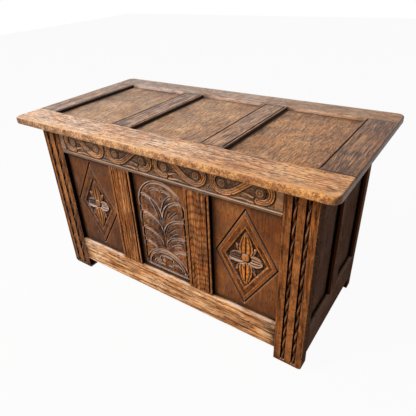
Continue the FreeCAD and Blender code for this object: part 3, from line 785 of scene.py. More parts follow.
# how much of each end of a node is a tenon inside another board, and how much of a panel's edge
# lies in its groove
joinery = {"railTenon": 50 * mm, "sideTenon": 26 * mm, "muntinTenon": 30 * mm, "lidTenon": 40 * mm,
           "panelBite": 7.5 * mm, "lidBite": 6.5 * mm}

# the frieze: four scrolls along the top rail, each second one mirrored; lines are in mm from a
# scroll's left end and from the rail's lower edge
frieze = {"halfLength": 393.0, "unit": 196.5, "low": 13.0, "high": 91.0, "ground": 4.0,
          "bandWidth": 18.5, "rosettes": [(43, 48), (155, 48)]}
scrollLine = [(48, 24), (28, 25), (14, 36), (10, 54), (18, 71), (38, 81), (62, 76), (84, 60),
              (106, 42), (128, 28), (153, 23), (173, 31), (182, 47), (180, 64), (163, 77),
              (140, 74), (114, 64)]
leafTips = [([(46, 28), (62, 31), (78, 36), (94, 37)], (9, 8, 5, 1.5)),
            ([(44, 18), (65, 17), (92, 20), (120, 16)], (8, 8, 6, 1.5))]


def friezeRelief(carving):
    carving.v = carving.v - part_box("front_top_rail")[0][2] / mm
    u, v = carving.u, carving.v
    inner = frieze["halfLength"] - np.abs(u)
    ground = np.clip((v - frieze["low"]) / 3.0, 0, 1)
    ground = np.minimum(ground, np.clip((frieze["high"] - v) / 2.5, 0, 1))
    ground = np.minimum(ground, np.clip(inner / 2.0, 0, 1))
    punched = softNoise(u, v, 3.5, 3.5, 21)
    carving.depth = ground * (frieze["ground"] + 0.5 * punched)
    carving.dark = ground * np.clip(0.42 + 0.5 * punched, 0, 1)
    for unit in range(4):
        start = -frieze["halfLength"] + unit * frieze["unit"]

        def laid(points, unit=unit, start=start):
            return [(start + (frieze["unit"] - x if unit % 2 else x), z) for x, z in points]

        for line, widths in leafTips:
            carving.band(laid(line), widths, 1, furrow=1.0, moat=2.0, pale=0.3 + 0.15 * unit)
        wide = frieze["bandWidth"]
        carving.band(laid(scrollLine), (wide,) * 14 + (wide * 0.8, wide * 0.6, 3), 3,
                     furrow=3.0, top=0.1, moat=3.6)
        for centre in laid(frieze["rosettes"]):
            carving.turned(centre, (0, 3.5, 5, 6, 8, 11, 12.5, 14, 16, 17.5),
                           (0.3, 0.8, 2.0, 1.6, 0.5, 0.7, 3.2, 1.4, 1.6, 4.0))
    # the crests are rubbed golden in patches
    rubbed = softNoise(u, v, 22, 12, 43)
    carving.gold *= np.clip(1.1 + 0.9 * rubbed, 0.15, 1.6)
    carving.dark = np.maximum(carving.dark, np.clip(-0.2 - 0.6 * rubbed, 0, 0.4) * (v > 15))
    # the border below is a pale fillet between two fine cuts
    along = [(-frieze["halfLength"] - 20, 0), (frieze["halfLength"] + 20, 0)]
    for height, width in ((4.6, 3.0), (13.2, 3.6)):
        carving.groove([(x, height) for x, z in along], width, 1.8, taper=0)
    carving.dark = np.maximum(carving.dark, np.clip(1.0 - v / 7.0, 0, 0.6))
    fillet = np.clip(1.4 - np.abs(v - 9.0) / 1.4, 0, 1)
    bleachedAndLit = np.clip(0.8 + 0.35 * softNoise(u, v, 30, 5, 23) + u / 500, 0.2, 1.6)
    carving.pale = np.maximum(carving.pale, fillet * bleachedAndLit)
    beside = 0.4 * np.clip((16.0 - v) / 1.5, 0, 1) * (1 - fillet)
    carving.dark = np.maximum(carving.dark, beside)


# the middle panel: an arch filled with leaves over a small lunette, in mm from the panel's
# middle and from the bottom rail's upper edge
archPanel = {"middle": 2.5, "half": 89.0, "spring": 258.0, "low": 11.0, "lunette": (88.0, 75.0),
             "lunetteLow": 3.0, "hatching": 8.5}
leafEdges = [
    [(0, 193), (5, 223), (12, 248), (25, 268), (45, 283), (65, 291), (80, 288), (87, 275),
     (87, 255), (78, 238)],
    [(3, 153), (8, 173), (20, 196), (40, 213), (60, 223), (80, 226), (87, 214), (88, 190),
     (80, 174)],
    [(8, 113), (15, 128), (30, 145), (50, 156), (70, 161), (83, 161), (88, 150), (88, 128),
     (80, 114)],
    [(34, 90), (50, 100), (65, 106), (80, 107), (87, 98), (87, 80)],
]
leafVeins = [
    [(22, 225), (40, 247), (62, 268)], [(30, 225), (48, 243), (68, 259)],
    [(17, 165), (35, 183), (55, 200)], [(22, 153), (40, 171), (64, 186)],
    [(24, 118), (48, 134), (74, 144)], [(34, 118), (56, 127), (76, 132)],
    [(10, 212), (18, 236), (34, 258)],
]
crownLines = [
    [(-3, 238), (5, 258), (15, 283), (30, 300), (48, 311)],
    [(-10, 198), (-15, 228), (-25, 253), (-40, 278), (-50, 293)],
    [(-46, 306), (-30, 318), (-10, 321), (-4, 313)], [(0, 311), (10, 320), (26, 318), (46, 306)],
    [(1, 280), (1, 300)], [(-22, 282), (-14, 298)],
]
stemLines = [
    [(3, 94), (5, 130), (14, 168), (30, 204), (40, 214)], [(8, 96), (14, 124), (26, 148)],
    [(-3, 94), (-6, 140), (-10, 186), (-24, 232)], [(-8, 94), (-14, 126), (-26, 150)],
    [(0, 100), (-1, 150), (2, 200), (8, 238)], [(-6, 150), (-18, 180), (-34, 204)],
]
flowerLines = [
    [(-26, 38), (-25, 53), (-13, 62), (8, 63), (21, 59), (23, 43)],
    [(-56, 20), (-48, 34), (-34, 40), (-24, 35)], [(25, 26), (32, 38), (46, 42), (58, 34), (62, 22)],
    [(-40, 20), (-22, 27), (-8, 23)], [(0, 25), (12, 29), (22, 23)],
    [(-50, 15), (-44, 26), (-30, 29)],
]


def archRelief(carving):
    carving.u = carving.u - archPanel["middle"]
    carving.v = carving.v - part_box("front_bottom_rail")[1][2] / mm
    u, v = carving.u, carving.v
    half, spring = archPanel["half"], archPanel["spring"]
    within = np.clip((half - 4 - np.hypot(u, np.maximum(v - spring, 0))) / 4, 0, 1)
    carving.depth = within * (0.9 + 0.5 * softNoise(u, v, 7, 9, 29))
    # the leaves are hatched, fanning out from the stems
    fan = (v * 0.8 + np.abs(u) * (0.25 + 0.0022 * v)) / archPanel["hatching"]
    fan = fan + 0.5 * softNoise(u, v, 16, 16, 27)
    hatch = np.sin(2 * math.pi * fan) * (np.abs(u) > 9) * within
    carving.depth += 0.2 * hatch
    mottled = softNoise(u, v, 9, 9, 31) * 0.6 + softNoise(u, v, 24, 24, 35) * 0.5
    carving.dark = within * np.clip(np.clip(hatch, 0, 1) * 0.35 + mottled * 0.6 + 0.18, 0, 0.85)
    carving.pale = within * np.clip(0.04 + 0.1 * softNoise(u, v, 11, 11, 49), 0, 0.15)
    carving.gold = within * (0.3 - 0.4 * hatch) * np.clip(0.1 - mottled * 0.9, 0, 1)
    turn = np.radians(np.arange(180, -1, -15))
    arch = [(-half, archPanel["low"]), (-half, spring * 0.5)]
    arch += [(half * math.cos(a), spring + half * math.sin(a)) for a in turn]
    arch += [(half, spring * 0.5), (half, archPanel["low"])]
    for side in (1, -1):
        veinDepth, veinDirtAndShade = (4.2, 1.0) if side > 0 else (2.2, 0.5)
        for line in leafVeins:
            carving.groove([(side * x, y) for x, y in line], 6.4, veinDepth, lean=0.3 * side,
                           taper=9.0, dirt=veinDirtAndShade)
        for line in leafEdges:
            drop = 0 if side > 0 else 3
            points = [(side * x, y - drop) for x, y in line]
            # ribs that follow the leaf's edge
            for rib in (1, 2):
                inside = [(x * (1 - 0.03 * rib) + 4 * side, y - 11 * rib) for x, y in points[2:7]]
                carving.groove(inside, 3.8, 2.2, lean=0.4 * side, taper=18.0, dirt=0.6)
            carving.groove(points, 9.0, 4.8, lean=0.5 * side, taper=16.0, rim=4.2 * side)
    for line in stemLines:
        carving.groove(line, 4.4, 3.4, lean=0.3, taper=14.0, dirt=0.85)
    for line in crownLines:
        carving.groove(line, 8.0, 4.4, lean=0.45, taper=10.0, rim=3.4)
    # the lunette stands clear over the leaves' feet
    centre = (0.0, archPanel["lunetteLow"])
    reach = np.hypot(u - centre[0], v - centre[1])
    inside = reach < archPanel["lunette"][0]
    for field in (carving.dark, carving.gold, carving.pale):
        field[inside] = 0.0
    carving.depth[inside] = np.minimum(carving.depth[inside], 0.3)
    carving.depth[reach < archPanel["lunette"][1]] = 1.6
    carving.dark[inside] = np.clip(0.3 + 0.5 * softNoise(u, v, 8, 8, 39), 0, 1)[inside]
    for radius in archPanel["lunette"]:
        ring = [(radius * math.cos(a), centre[1] + radius * math.sin(a))
                for a in np.radians(np.arange(172, 4, -12))]
        carving.groove(ring, 6.5, 4.2, lean=0.4, taper=0, rim=3.6)
    for line in flowerLines:
        carving.groove(line, 8.0, 5.0, lean=0.45, taper=8.0, rim=3.5)
    carving.turned((-12.0, 46.0), (0, 6, 9, 11), (0.2, 0.5, 1.4, 2.6), gold=1.0)
    carving.groove(arch, 7.0, 4.6, lean=0.2, taper=0)
    carving.groove(arch[2:13], 7.0, 4.6, lean=0.2, taper=12.0, rim=3.8)
    foot = archPanel["low"]
    carving.groove([(-92, foot), (0, foot), (91, foot)], 8.0, 4.0, lean=0.4)
    below = v < foot - 3
    carving.depth[below] = 0.0
    carving.dark[below] = 0.5


# the front's outer panels: a lozenge in a lozenge round a flower of four petals, in mm from its
# middle, which lies height above the bottom rail; lean is how far right its top and foot stand
lozenge = {"outer": (100.0, 166.0), "line": (86.0, 143.0), "inner": (68.0, 108.0), "ground": 4.0,
           "height": 180.0, "lean": -3.0, "boss": (-2.0, 5.0)}


def lozengeRelief(middle, glow):
    def relief(carving):
        carving.u = carving.u - middle / mm
        carving.v = carving.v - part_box("front_bottom_rail")[1][2] / mm - lozenge["height"]
        u, v = carving.u, carving.v

        def within(name):
            # how far inside the named lozenge each point is
            halfWidth, halfHeight = lozenge[name]
            slant = math.hypot(1 / halfWidth, 1 / halfHeight)
            upright = np.abs(v) / halfHeight
            return (1 - np.abs(u - lozenge["lean"] * upright) / halfWidth - upright) / slant

        punched = softNoise(u, v, 4, 4, 33)
        # a punched ring between the outer line and the sunk inner lozenge
        ring = np.clip(within("line") / 1.5, 0, 1)
        carving.depth = ring * (0.5 + 0.5 * punched)
        blotched = softNoise(u, v, 17, 17, 45)
        carving.dark = ring * np.clip(0.3 + 0.4 * punched + 0.5 * blotched, 0, 0.9)
        inner = np.clip(within("inner") / 2.2, 0, 1)
        carving.depth = np.maximum(carving.depth, inner * (lozenge["ground"] + 0.4 * punched))
        carving.dark = np.maximum(carving.dark, inner * np.clip(0.75 + 0.3 * punched, 0, 1))
        thin = np.clip(1.5 - np.abs(within("line")) / 1.4, 0, 1)
        carving.gold = np.maximum(thin, np.clip(1.4 - np.abs(within("inner") + 1.5) / 2.0, 0, 1))
        carving.gold *= np.clip(0.75 + 0.7 * blotched, 0.1, 1.2) * glow
        carving.dark *= np.clip(1 - carving.gold, 0, 1)
        for turn in (52, 128, 232, 308):
            a = math.radians(turn)
            start = (20 * math.cos(a), 26 * math.sin(a))
            carving.petal(start, turn, 33, (9, 15, 13, 3), (0.9, 0.5), ribs=3, pale=0.4)
        for angle in (90, 270):
            carving.petal((0, 0), angle, 94, (26, 34, 44, 43, 34, 22, 2), (0.9, 0.0), ribs=3,
                          ground=4.0, gold=1.35 * glow)
            line = [(0, math.copysign(y, 180 - angle)) for y in (14, 45, 86)]
            carving.groove(line, 5.0, 3.0)
        for angle in (0, 180):
            start = (math.copysign(8, 90 - angle), 0)
            carving.petal(start, angle, 45, (24, 35, 39, 39, 37, 28, 8), (0.6, 1.6), ribs=4,
                          ground=4.0, pale=0.6)
        # painted light: the left petal is painted in shade but for a pale painted highlight on its
        # lower rim, and the right one gets a pale painted highlight
        arms = np.abs(v) < 20
        leftTop = arms & (u < -8) & (u > -58) & (v > -9)
        leftRim = arms & (u < -8) & (u > -58) & (v <= -9)
        rightPetal = arms & (u > 8) & (u < 58)
        carving.dark[leftTop] = np.maximum(carving.dark, 0.7)[leftTop]
        carving.pale[leftTop] *= 0.15
        carving.pale[leftRim] = np.clip(0.75 + 0.3 * punched, 0, 1)[leftRim]
        bleachedAndLit = np.clip(1.5 - np.abs(v + 3) / 16 + 0.4 * punched, 0, 2)
        carving.pale[rightPetal] *= bleachedAndLit[rightPetal]
        # a painted black shadow on the boss's shadow side
        around = np.hypot(u - lozenge["boss"][0] - 2.5, v - lozenge["boss"][1])
        carving.dark[around < 17.5] = 1.0
        carving.depth[around < 17.5] = 4.0
        carving.pale[around < 17.5] = 0.0
        carving.turned(lozenge["boss"], (0, 9, 11, 13, 14), (0.1, 0.2, 0.5, 1.4, 3.0), gold=glow)
        halfWidth, halfHeight = lozenge["outer"]
        lean = lozenge["lean"]
        corners = [(-halfWidth, 0), (lean, halfHeight), (halfWidth, 0), (lean, -halfHeight),
                   (-halfWidth, 0)]
        for start, end in zip(corners, corners[1:]):
            carving.groove([start, end], 7.0, 4.4, taper=0)
    return relief


# the ropes in the front stiles' channels, in mm; a strand begins at first and at every pitch from
# there, and slope is how steeply it crosses the rope
rope = {"fromEdge": (27.0, 61.0), "channel": 14.0, "depth": 5.0, "bead": 5.3, "aside": 0.9,
        "pitch": 50.6, "first": 561.5, "slope": 3.0, "top": 606.0, "bottom": 12.0}


def ropeRelief(outerX, way):
    def relief(carving):
        z = carving.v
        for fromEdge in rope["fromEdge"]:
            s = carving.u - (outerX / mm - way * fromEdge)
            channel = np.clip((rope["channel"] / 2 - np.abs(s)) / 0.7, 0, 1)
            channel *= np.clip(rope["top"] - z, 0, 1) * np.clip(z - rope["bottom"], 0, 1)
            t = s - rope["aside"]
            phase = (z - rope["first"] - rope["slope"] * t) / rope["pitch"]
            phase = phase - np.floor(phase)
            twist = np.clip(np.sin(math.pi * phase) * 1.35, 0, 1) ** 0.7
            reach = rope["bead"] * (0.55 + 0.45 * twist)
            bead = np.sqrt(np.clip(reach ** 2 - t ** 2, 0, None)) * (0.5 + 0.5 * twist)
            inside = channel > 0
            # painted shadow in the channel and its black slit; pale streaks across the strands are
            # painted highlights
            slit = np.clip((np.abs(t - 0.6) - reach + 2.6) / 1.8, 0, 1)
            carving.depth[inside] = (channel * (rope["depth"] - bead * 0.88))[inside]
            carving.dark[inside] = np.maximum(slit, np.maximum(1.0 - 1.5 * twist, 0.5))[inside]
            carving.gold[inside] = (twist * (1 - slit) * np.clip(0.1 - t / 6, 0, 0.4))[inside]
            streak = np.clip(1.0 - np.abs(phase - 0.6 - t * 0.03) / 0.09, 0, 1) * (1 - slit)
            worn = np.clip(0.75 + 0.5 * softNoise(carving.u, z, 200, 60, 47), 0.1, 1)
            carving.pale[inside] = (streak * worn * 0.7)[inside]
            carving.dark[inside] *= (1 - 0.8 * streak * worn)[inside]
    return relief


def quirkRelief(quirks, ends):
    # narrow stopped grooves: the place and width of each in mm, and which way the bead beside it is
    def relief(carving):
        low, high = ends[0] / mm + 6.0, ends[1] / mm - 6.0
        for place, width, way in quirks:
            carving.groove([(place, low), (place, high)], width, 3.4, taper=4.0)
            beside = (carving.u - place) * way - width / 2
            bead = np.clip(1.3 - np.abs(beside - 3.2) / 2.2, 0, 1)
            bead = bead * (carving.v > low) * (carving.v < high)
            carving.gold = np.maximum(carving.gold, bead * 0.8)
    return relief


def openingsBetween(*nodes):
    # the gaps between upright boards, from left to right, in millimetres
    boxes = [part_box(node) for node in nodes]
    return [(before[1][0] / mm, after[0][0] / mm) for before, after in zip(boxes, boxes[1:])]


def wornArris(openings, edge, way, size, bleachAndSheen):
    # the arris at edge is worn away along each opening and given a pale painted highlight, left out
    # near the opening's ends, where shade falls; way is 1 where it is the high one, and size is how
    # many mm of the board are worn
    def relief(carving):
        u, v = carving.u, carving.v
        near = np.zeros_like(u)
        patches = np.zeros_like(u)
        for start, end in openings:
            near = np.maximum(near, np.clip(np.minimum(u - start, end - u) / 9.0 + 0.3, 0, 1))
            inside = np.minimum((u - start - 12.0) / 45.0, (end - u) / 20.0)
            patches = np.maximum(patches, np.clip(inside, 0, 1))
        uneven = 1.0 + 0.4 * softNoise(u, v, 38, 200, 37)
        worn = np.clip((v - edge / mm) * way / size + 1.0, 0, 1) ** 1.5 * near * uneven
        carving.depth = worn * size * 0.75
        patches *= np.clip(0.7 + 0.8 * softNoise(u, v, 26, 7, 41), 0, 1)
        carving.pale = np.clip(worn * 5.0 - 0.2, 0, 1) * patches * bleachAndSheen
    return relief


def fineLines(places, reach, step):
    # extra grid lines on both sides of each place
    count = round(reach / step)
    return [place + k * step for place in places for k in range(-count, count + 1)]


# the front's stiles, with rounded feet that wet floors have stained
frontStiles = {"outerArris": 2.6 * mm, "innerArris": 1.2 * mm, "footArris": 4 * mm,
               "topArris": 1 * mm, "ropeCell": 0.8 * mm, "seed": {"left": 10, "right": 12},
               "tone": {"left": -0.36, "right": -0.14},
               "board": {"corner": 12 * mm, "cell": (5 * mm, 2.2 * mm), "chips": 0.6 * mm,
                         "stain": ("low",), "stainAndShadeReach": 110 * mm}}
cornerSteps = [k * mm for k in (4, 7, 10, 12)]
for side, way in (("left", -1), ("right", 1)):
    node = "front_" + side + "_stile"
    low, high = seen(node)
    outer, inner = (low[0], high[0]) if way < 0 else (high[0], low[0])
    channels = [outer - way * fromEdge * mm for fromEdge in rope["fromEdge"]]
    extraU = fineLines(channels, 8 * mm, frontStiles["ropeCell"])
    extraU += [outer - way * step for step in cornerSteps]
    arris = {"low": frontStiles["footArris"], "high": frontStiles["topArris"],
             side: frontStiles["outerArris"], otherSide[side]: frontStiles["innerArris"]}
    piece = board(node + "_board", "front", low, high, frontStiles["seed"][side],
                  ropeRelief(outer, way), arris=arris, rear={side: 1 * mm, "low": 2 * mm},
                  corners=((side, "low"),), extraU=extraU, extraV=cornerSteps, heart=inner,
                  tone=frontStiles["tone"][side], **frontStiles["board"])
    dress(piece, "frame", "ZX", "carcase", node)

topRail = {"arris": {"low": 2 * mm, "high": 0.8 * mm}, "cell": (1.07 * mm, 1.05 * mm),
           "wave": 0.15 * mm, "tone": 0.2, "seam": ("left", "right")}
low, high = seen("front_top_rail", joinery["railTenon"])
piece = board("front_top_rail_board", "front", low, high, 31, friezeRelief, heart=low[2], **topRail)
dress(piece, "frieze", "XZ", "carcase", "front_top_rail")

bottomRail = {"arris": {"low": 2.4 * mm, "high": 1.2 * mm}, "rear": {"low": 1.5 * mm},
              "cell": (4 * mm, 4 * mm), "wave": 0.5 * mm, "chips": 0.8 * mm, "slant": 0.04,
              "tone": 0.07, "seam": ("left", "right"), "stain": ("left", "right")}
low, high = seen("front_bottom_rail", joinery["railTenon"])
openings = openingsBetween("front_left_stile", "front_left_muntin", "front_right_muntin",
                           "front_right_stile")
piece = board("front_bottom_rail_board", "front", low, high, 41,
              wornArris(openings, high[2], 1, size=8.0, bleachAndSheen=1.3),
              heart=(low[2] + high[2]) / 2 - 0.01,
              extraV=fineLines((high[2] - 5 * mm,), 4 * mm, 1 * mm), **bottomRail)
dress(piece, "bottomRail", "XZ", "carcase", "front_bottom_rail")

# the front's muntins; quirks are the distance from the left and from the right edge and the
# width of each, in mm; the right muntin's grain runs in arches, because its heart is near the face
frontMuntins = {"quirks": ((11.5, 4.6), (9.5, 6.6)), "quirkCell": 0.7 * mm,
                "figure": {"left": {"slant": 0.05, "root": -0.3},
                           "right": {"slant": 0.42, "root": 0.10}},
                "heart": {"left": 60 * mm, "right": 13 * mm},
                "board": {"arris": {"left": 1.8 * mm, "right": 1.8 * mm}, "cell": (4 * mm, 4 * mm),
                          "chips": 0.5 * mm, "wave": 0.3 * mm, "seam": ("low", "high"),
                          "tone": 0.04}}
for side, seed in (("left", 51), ("right", 53)):
    node = "front_" + side + "_muntin"
    low, high = seen(node, tenonZ=joinery["muntinTenon"])
    (fromLeft, leftWidth), (fromRight, rightWidth) = frontMuntins["quirks"]
    quirks = ((low[0] / mm + fromLeft, leftWidth, -1), (high[0] / mm - fromRight, rightWidth, 1))
    places = [place * mm for place, width, way in quirks]
    piece = board(node + "_board", "front", low, high, seed, quirkRelief(quirks, (low[2], high[2])),
                  extraU=fineLines(places, 4.2 * mm, frontMuntins["quirkCell"]),
                  heart=(low[0] + high[0]) / 2 + frontMuntins["heart"][side],
                  **frontMuntins["figure"][side], **frontMuntins["board"])
    dress(piece, "frame", "ZX", "carcase", node)

# painted shade at the panels' margins, and stains and painted shade at their left, top and foot
frontPanels = {"tone": {"left": -0.12, "centre": 0.0, "right": 0.1},
               "glow": {"left": 0.4, "right": 1.0},
               "board": {"cell": (1.15 * mm, 1.15 * mm), "wave": 0.35 * mm, "joint": allSides,
                         "stain": ("left", "high", "low")}}
for place, seed in (("left", 61), ("centre", 63), ("right", 65)):
    node = "front_" + place + "_panel"
    low, high = seen(node, joinery["panelBite"], 0.0, joinery["panelBite"])
    if place == "centre":
        relief = archRelief
    else:
        relief = lozengeRelief((low[0] + high[0]) / 2, frontPanels["glow"][place])
    piece = board(node + "_board", "front", low, high, seed, relief, heart=low[0] - 0.05,
                  tone=frontPanels["tone"][place], **frontPanels["board"])
    dress(piece, "carved", "ZX", "carcase", node)
print("front made")

# the two sides are alike; their panels get painted shade at the margins
sideBoards = {"top_rail": {"arris": {"low": 2 * mm}, "wave": 0.4 * mm, "chips": 0.6 * mm},
              "bottom_rail": {"arris": {"low": 2 * mm, "high": 2 * mm}, "rear": {"low": 1.5 * mm},
                              "wave": 0.4 * mm, "chips": 0.6 * mm, "tone": 0.14},
              "muntin": {"arris": {"left": 1.8 * mm, "right": 1.8 * mm}, "chips": 0.5 * mm},
              "panel": {"wave": 0.5 * mm, "joint": allSides}}
rearStiles = {"outerArris": 2.2 * mm, "innerArris": 1.2 * mm, "footArris": 3 * mm,
              "chips": 0.6 * mm}
for side in ("left", "right"):
    for part, seed in (("top_rail", 71), ("bottom_rail", 73)):
        node = side + "_" + part
        low, high = seen(node, tenonY=joinery["sideTenon"])
        piece = board(node + "_board", side, low, high, seed, heart=(low[2] + high[2]) / 2,
                      **sideBoards[part])
        dress(piece, "side", "YZ", "carcase", node)
    node = side + "_muntin"
    low, high = seen(node, tenonZ=joinery["muntinTenon"])
    piece = board(node + "_board", side, low, high, 75, heart=low[1], **sideBoards["muntin"])
    dress(piece, "side", "ZY", "carcase", node)
    for place, seed in (("front", 77), ("rear", 79)):
        node = side + "_" + place + "_panel"
        low, high = seen(node, 0.0, joinery["panelBite"], joinery["panelBite"])
        piece = board(node + "_board", side, low, high, seed, heart=low[1] - 0.03,
                      **sideBoards["panel"])
        dress(piece, "side", "ZY", "carcase", node)
    node = "rear_" + side + "_stile"
    low, high = seen(node)
    outer = otherSide[side]   # as the back is seen from behind
    arris = {outer: rearStiles["outerArris"], side: rearStiles["innerArris"],
             "low": rearStiles["footArris"]}
    piece = board(node + "_board", "back", low, high, 81, heart=low[0], arris=arris,
                  rear={outer: 1 * mm, "low": 2 * mm}, chips=rearStiles["chips"])
    dress(piece, "side", "ZX", "carcase", node)

# the back; the lid hides its top rail, which keeps its shape; its panels get painted shade at the
# margins
backBoards = {"rail": {"arris": {"low": 2 * mm, "high": 2 * mm}, "rear": {"low": 1.5 * mm},
                       "wave": 0.4 * mm},
              "muntin": {"arris": {"left": 1.8 * mm, "right": 1.8 * mm}},
              "panel": {"wave": 0.5 * mm, "joint": allSides}}
low, high = seen("back_bottom_rail", joinery["railTenon"])
piece = board("back_bottom_rail_board", "back", low, high, 93, heart=(low[2] + high[2]) / 2,
              **backBoards["rail"])
dress(piece, "side", "XZ", "carcase", "back_bottom_rail")
for side, seed in (("left", 95), ("right", 97)):
    node = "back_" + side + "_muntin"
    low, high = seen(node, tenonZ=joinery["muntinTenon"])
    piece = board(node + "_board", "back", low, high, seed, heart=low[0], **backBoards["muntin"])
    dress(piece, "side", "ZX", "carcase", node)
for place, seed in (("left", 101), ("centre", 103), ("right", 105)):
    node = "back_" + place + "_panel"
    low, high = seen(node, joinery["panelBite"], 0.0, joinery["panelBite"])
    piece = board(node + "_board", "back", low, high, seed, heart=low[0] - 0.03,
                  **backBoards["panel"])
    dress(piece, "side", "ZX", "carcase", node)
print("sides and back made")

# the lid's arrises: large round its rim, smaller on the rim's underside and at the panels
lidArris = {"outer": 5.5 * mm, "under": 3.5 * mm, "inner": 1.6 * mm}
outer, under, inner = lidArris["outer"], lidArris["under"], lidArris["inner"]

# the lid's long rails; worn is how many mm of the arris at the panels are worn, and how strong a
# pale painted highlight they get; fine is how far in from there the grid has its finest lines
lidRails = {"worn": {"front": (5.0, 0.3), "back": (9.0, 0.35)},
            "fine": {"front": 3 * mm, "back": 5 * mm},
            "stain": {"front": (), "back": ("left",)},
            "board": {"corner": 24 * mm, "cell": (3.5 * mm, 4 * mm), "wave": 0.5 * mm,
                      "chips": 1.2 * mm, "wobble": 0.4 * mm, "slant": 0.03, "stainAndShadeReach": 60 * mm}}
cornerLines = [k * mm for k in (21, 24, 27)]
openings = openingsBetween("lid_left_end", "lid_left_muntin", "lid_right_muntin", "lid_right_end")
for place, out, into, seed in (("front", "low", "high", 111), ("back", "high", "low", 113)):
    node = "lid_" + place + "_rail"
    low, high = seen(node)
    size, bleachAndSheen = lidRails["worn"][place]
    if place == "front":
        inwards, toPanels, toFree = 1, high[1], low[1]
    else:
        inwards, toPanels, toFree = -1, low[1], high[1]
    extraU = [low[0] + k for k in cornerLines] + [high[0] - k for k in cornerLines]
    extraV = [toFree + inwards * k for k in cornerLines]
    extraV += fineLines((toPanels - inwards * lidRails["fine"][place],), 4 * mm, 1 * mm)
    piece = board(node + "_board", "top", low, high, seed,
                  wornArris(openings, toPanels, inwards, size, bleachAndSheen),
                  arris={"left": outer, "right": outer, out: outer, into: inner},
                  rear={"left": under, "right": under, out: under},
                  corners=(("left", out), ("right", out)), extraU=extraU, extraV=extraV,
                  heart=(low[1] + high[1]) / 2, stain=lidRails["stain"][place], **lidRails["board"])
    dress(piece, "lidRail" if place == "front" else "lidBack", "XY", "lid", node)

# the hinges' pockets and the troughs for their knuckles, cut into the back rail from below
hingeCut = {"places": (-300 * mm, 300 * mm), "pocket": (75.6 * mm, 23.3 * mm, 2.3 * mm),
            "trough": (6.5 * mm, 81.4 * mm), "knuckle": 234 * mm}
backRail = bpy.data.objects["lid_back_rail_board"]
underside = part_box("lid_back_rail")[0][2]


def cutAway(piece, cutter):
    change = piece.modifiers.new("cut", "BOOLEAN")
    change.object = cutter
    change.solver = "EXACT"
    deselectAll()
    bpy.context.view_layer.objects.active = piece
    piece.select_set(True)
    bpy.ops.object.modifier_apply(modifier="cut")
    bpy.data.objects.remove(cutter)


for middle in hingeCut["places"]:
    length, width, deep = hingeCut["pocket"]
    deselectAll()
    bpy.ops.mesh.primitive_cube_add(
        size=1.0, location=(middle, hingeCut["knuckle"] - width / 2, underside))
    bpy.context.object.scale = (length, width, 2 * deep)
    bpy.ops.object.transform_apply(location=False, rotation=False, scale=True)
    cutAway(backRail, bpy.context.object)
    radius, length = hingeCut["trough"]
    bpy.ops.mesh.primitive_cylinder_add(
        vertices=32, radius=radius, depth=length, rotation=(0.0, math.pi / 2, 0.0),
        location=(middle, hingeCut["knuckle"], underside))
    cutAway(backRail, bpy.context.object)
deselectAll()

# the lid's ends and muntins; quirk is how far their quirks lie from the edges at the panels, in mm
lidUprights = {"quirk": 7.5, "quirkWidth": 5.2, "quirkCell": 0.7 * mm,
               "tone": {"left": 0.12, "right": -0.16},
               "end": {"cell": (4 * mm, 3.5 * mm), "wave": 0.5 * mm, "chips": 1.2 * mm},
               "muntin": {"arris": {"left": inner, "right": inner}, "cell": (4 * mm, 4 * mm),
                          "wave": 0.4 * mm, "chips": 0.6 * mm, "tone": 0.06}}
meets = {"seam": ("low", "high"), "stain": ("low", "high")}
for side, seed in (("left", 115), ("right", 117)):
    node = "lid_" + side + "_end"
    low, high = seen(node, tenonY=joinery["lidTenon"])
    way = 1 if side == "left" else -1
    place = (high[0] if side == "left" else low[0]) / mm - way * lidUprights["quirk"]
    relief = quirkRelief(((place, lidUprights["quirkWidth"], -way),), (low[1], high[1]))
    piece = board(node + "_board", "top", low, high, seed, relief,
                  arris={side: outer, otherSide[side]: inner}, rear={side: under},
                  extraU=fineLines((place * mm,), 3.5 * mm, lidUprights["quirkCell"]),
                  heart=(low[0] + high[0]) / 2, tone=lidUprights["tone"][side],
                  **lidUprights["end"], **meets)
    dress(piece, "lidEnd", "YX", "lid", node)
    node = "lid_" + side + "_muntin"
    low, high = seen(node, tenonY=joinery["lidTenon"])
    places = (low[0] / mm + lidUprights["quirk"], high[0] / mm - lidUprights["quirk"])
    quirks = [(place, lidUprights["quirkWidth"], 1) for place in places]
    piece = board(node + "_board", "top", low, high, seed + 10,
                  quirkRelief(quirks, (low[1], high[1])),
                  extraU=fineLines([place * mm for place in places], 3.5 * mm,
                                   lidUprights["quirkCell"]),
                  heart=(low[0] + high[0]) / 2, **lidUprights["muntin"], **meets)
    dress(piece, "lidEnd", "YX", "lid", node)

# painted shade at the panels' margins, and stains and painted shade at their left and back
lidPanels = {"wave": 0.6 * mm, "joint": allSides, "stain": ("left", "high")}
for place, seed in (("left", 131), ("centre", 133), ("right", 135)):
    node = "lid_" + place + "_panel"
    low, high = seen(node, joinery["lidBite"], joinery["lidBite"])
    piece = board(node + "_board", "top", low, high, seed, heart=low[0] - 0.04, **lidPanels)
    dress(piece, "lidPanel", "YX", "lid", node)
print("lid made")

# the nodes that keep their shape: their look and the run of their grain
kept = {"back_top_rail": ("side", "XZ"), "front_pegs": ("frame", "YX"), "back_pegs": ("side", "YX"),
        "left_pegs": ("side", "XY"), "right_pegs": ("side", "XY"), "lid_pegs": ("lidEnd", "ZX"),
        "floor_bearer_front": ("inside", "XZ"), "floor_bearer_rear": ("inside", "XZ")}
for number in range(1, 6):
    kept["floor_board_" + str(number)] = ("inside", "YX")
for name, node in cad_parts.items():
    if name in kept:
        node.data.materials.clear()
        node.data.materials.append(oakFor(*kept[name]))
    elif "hinge" in name or "nails" in name:
        node.data.materials.clear()
        node.data.materials.append(ironFinish)
print("pegs, floor and iron finished")

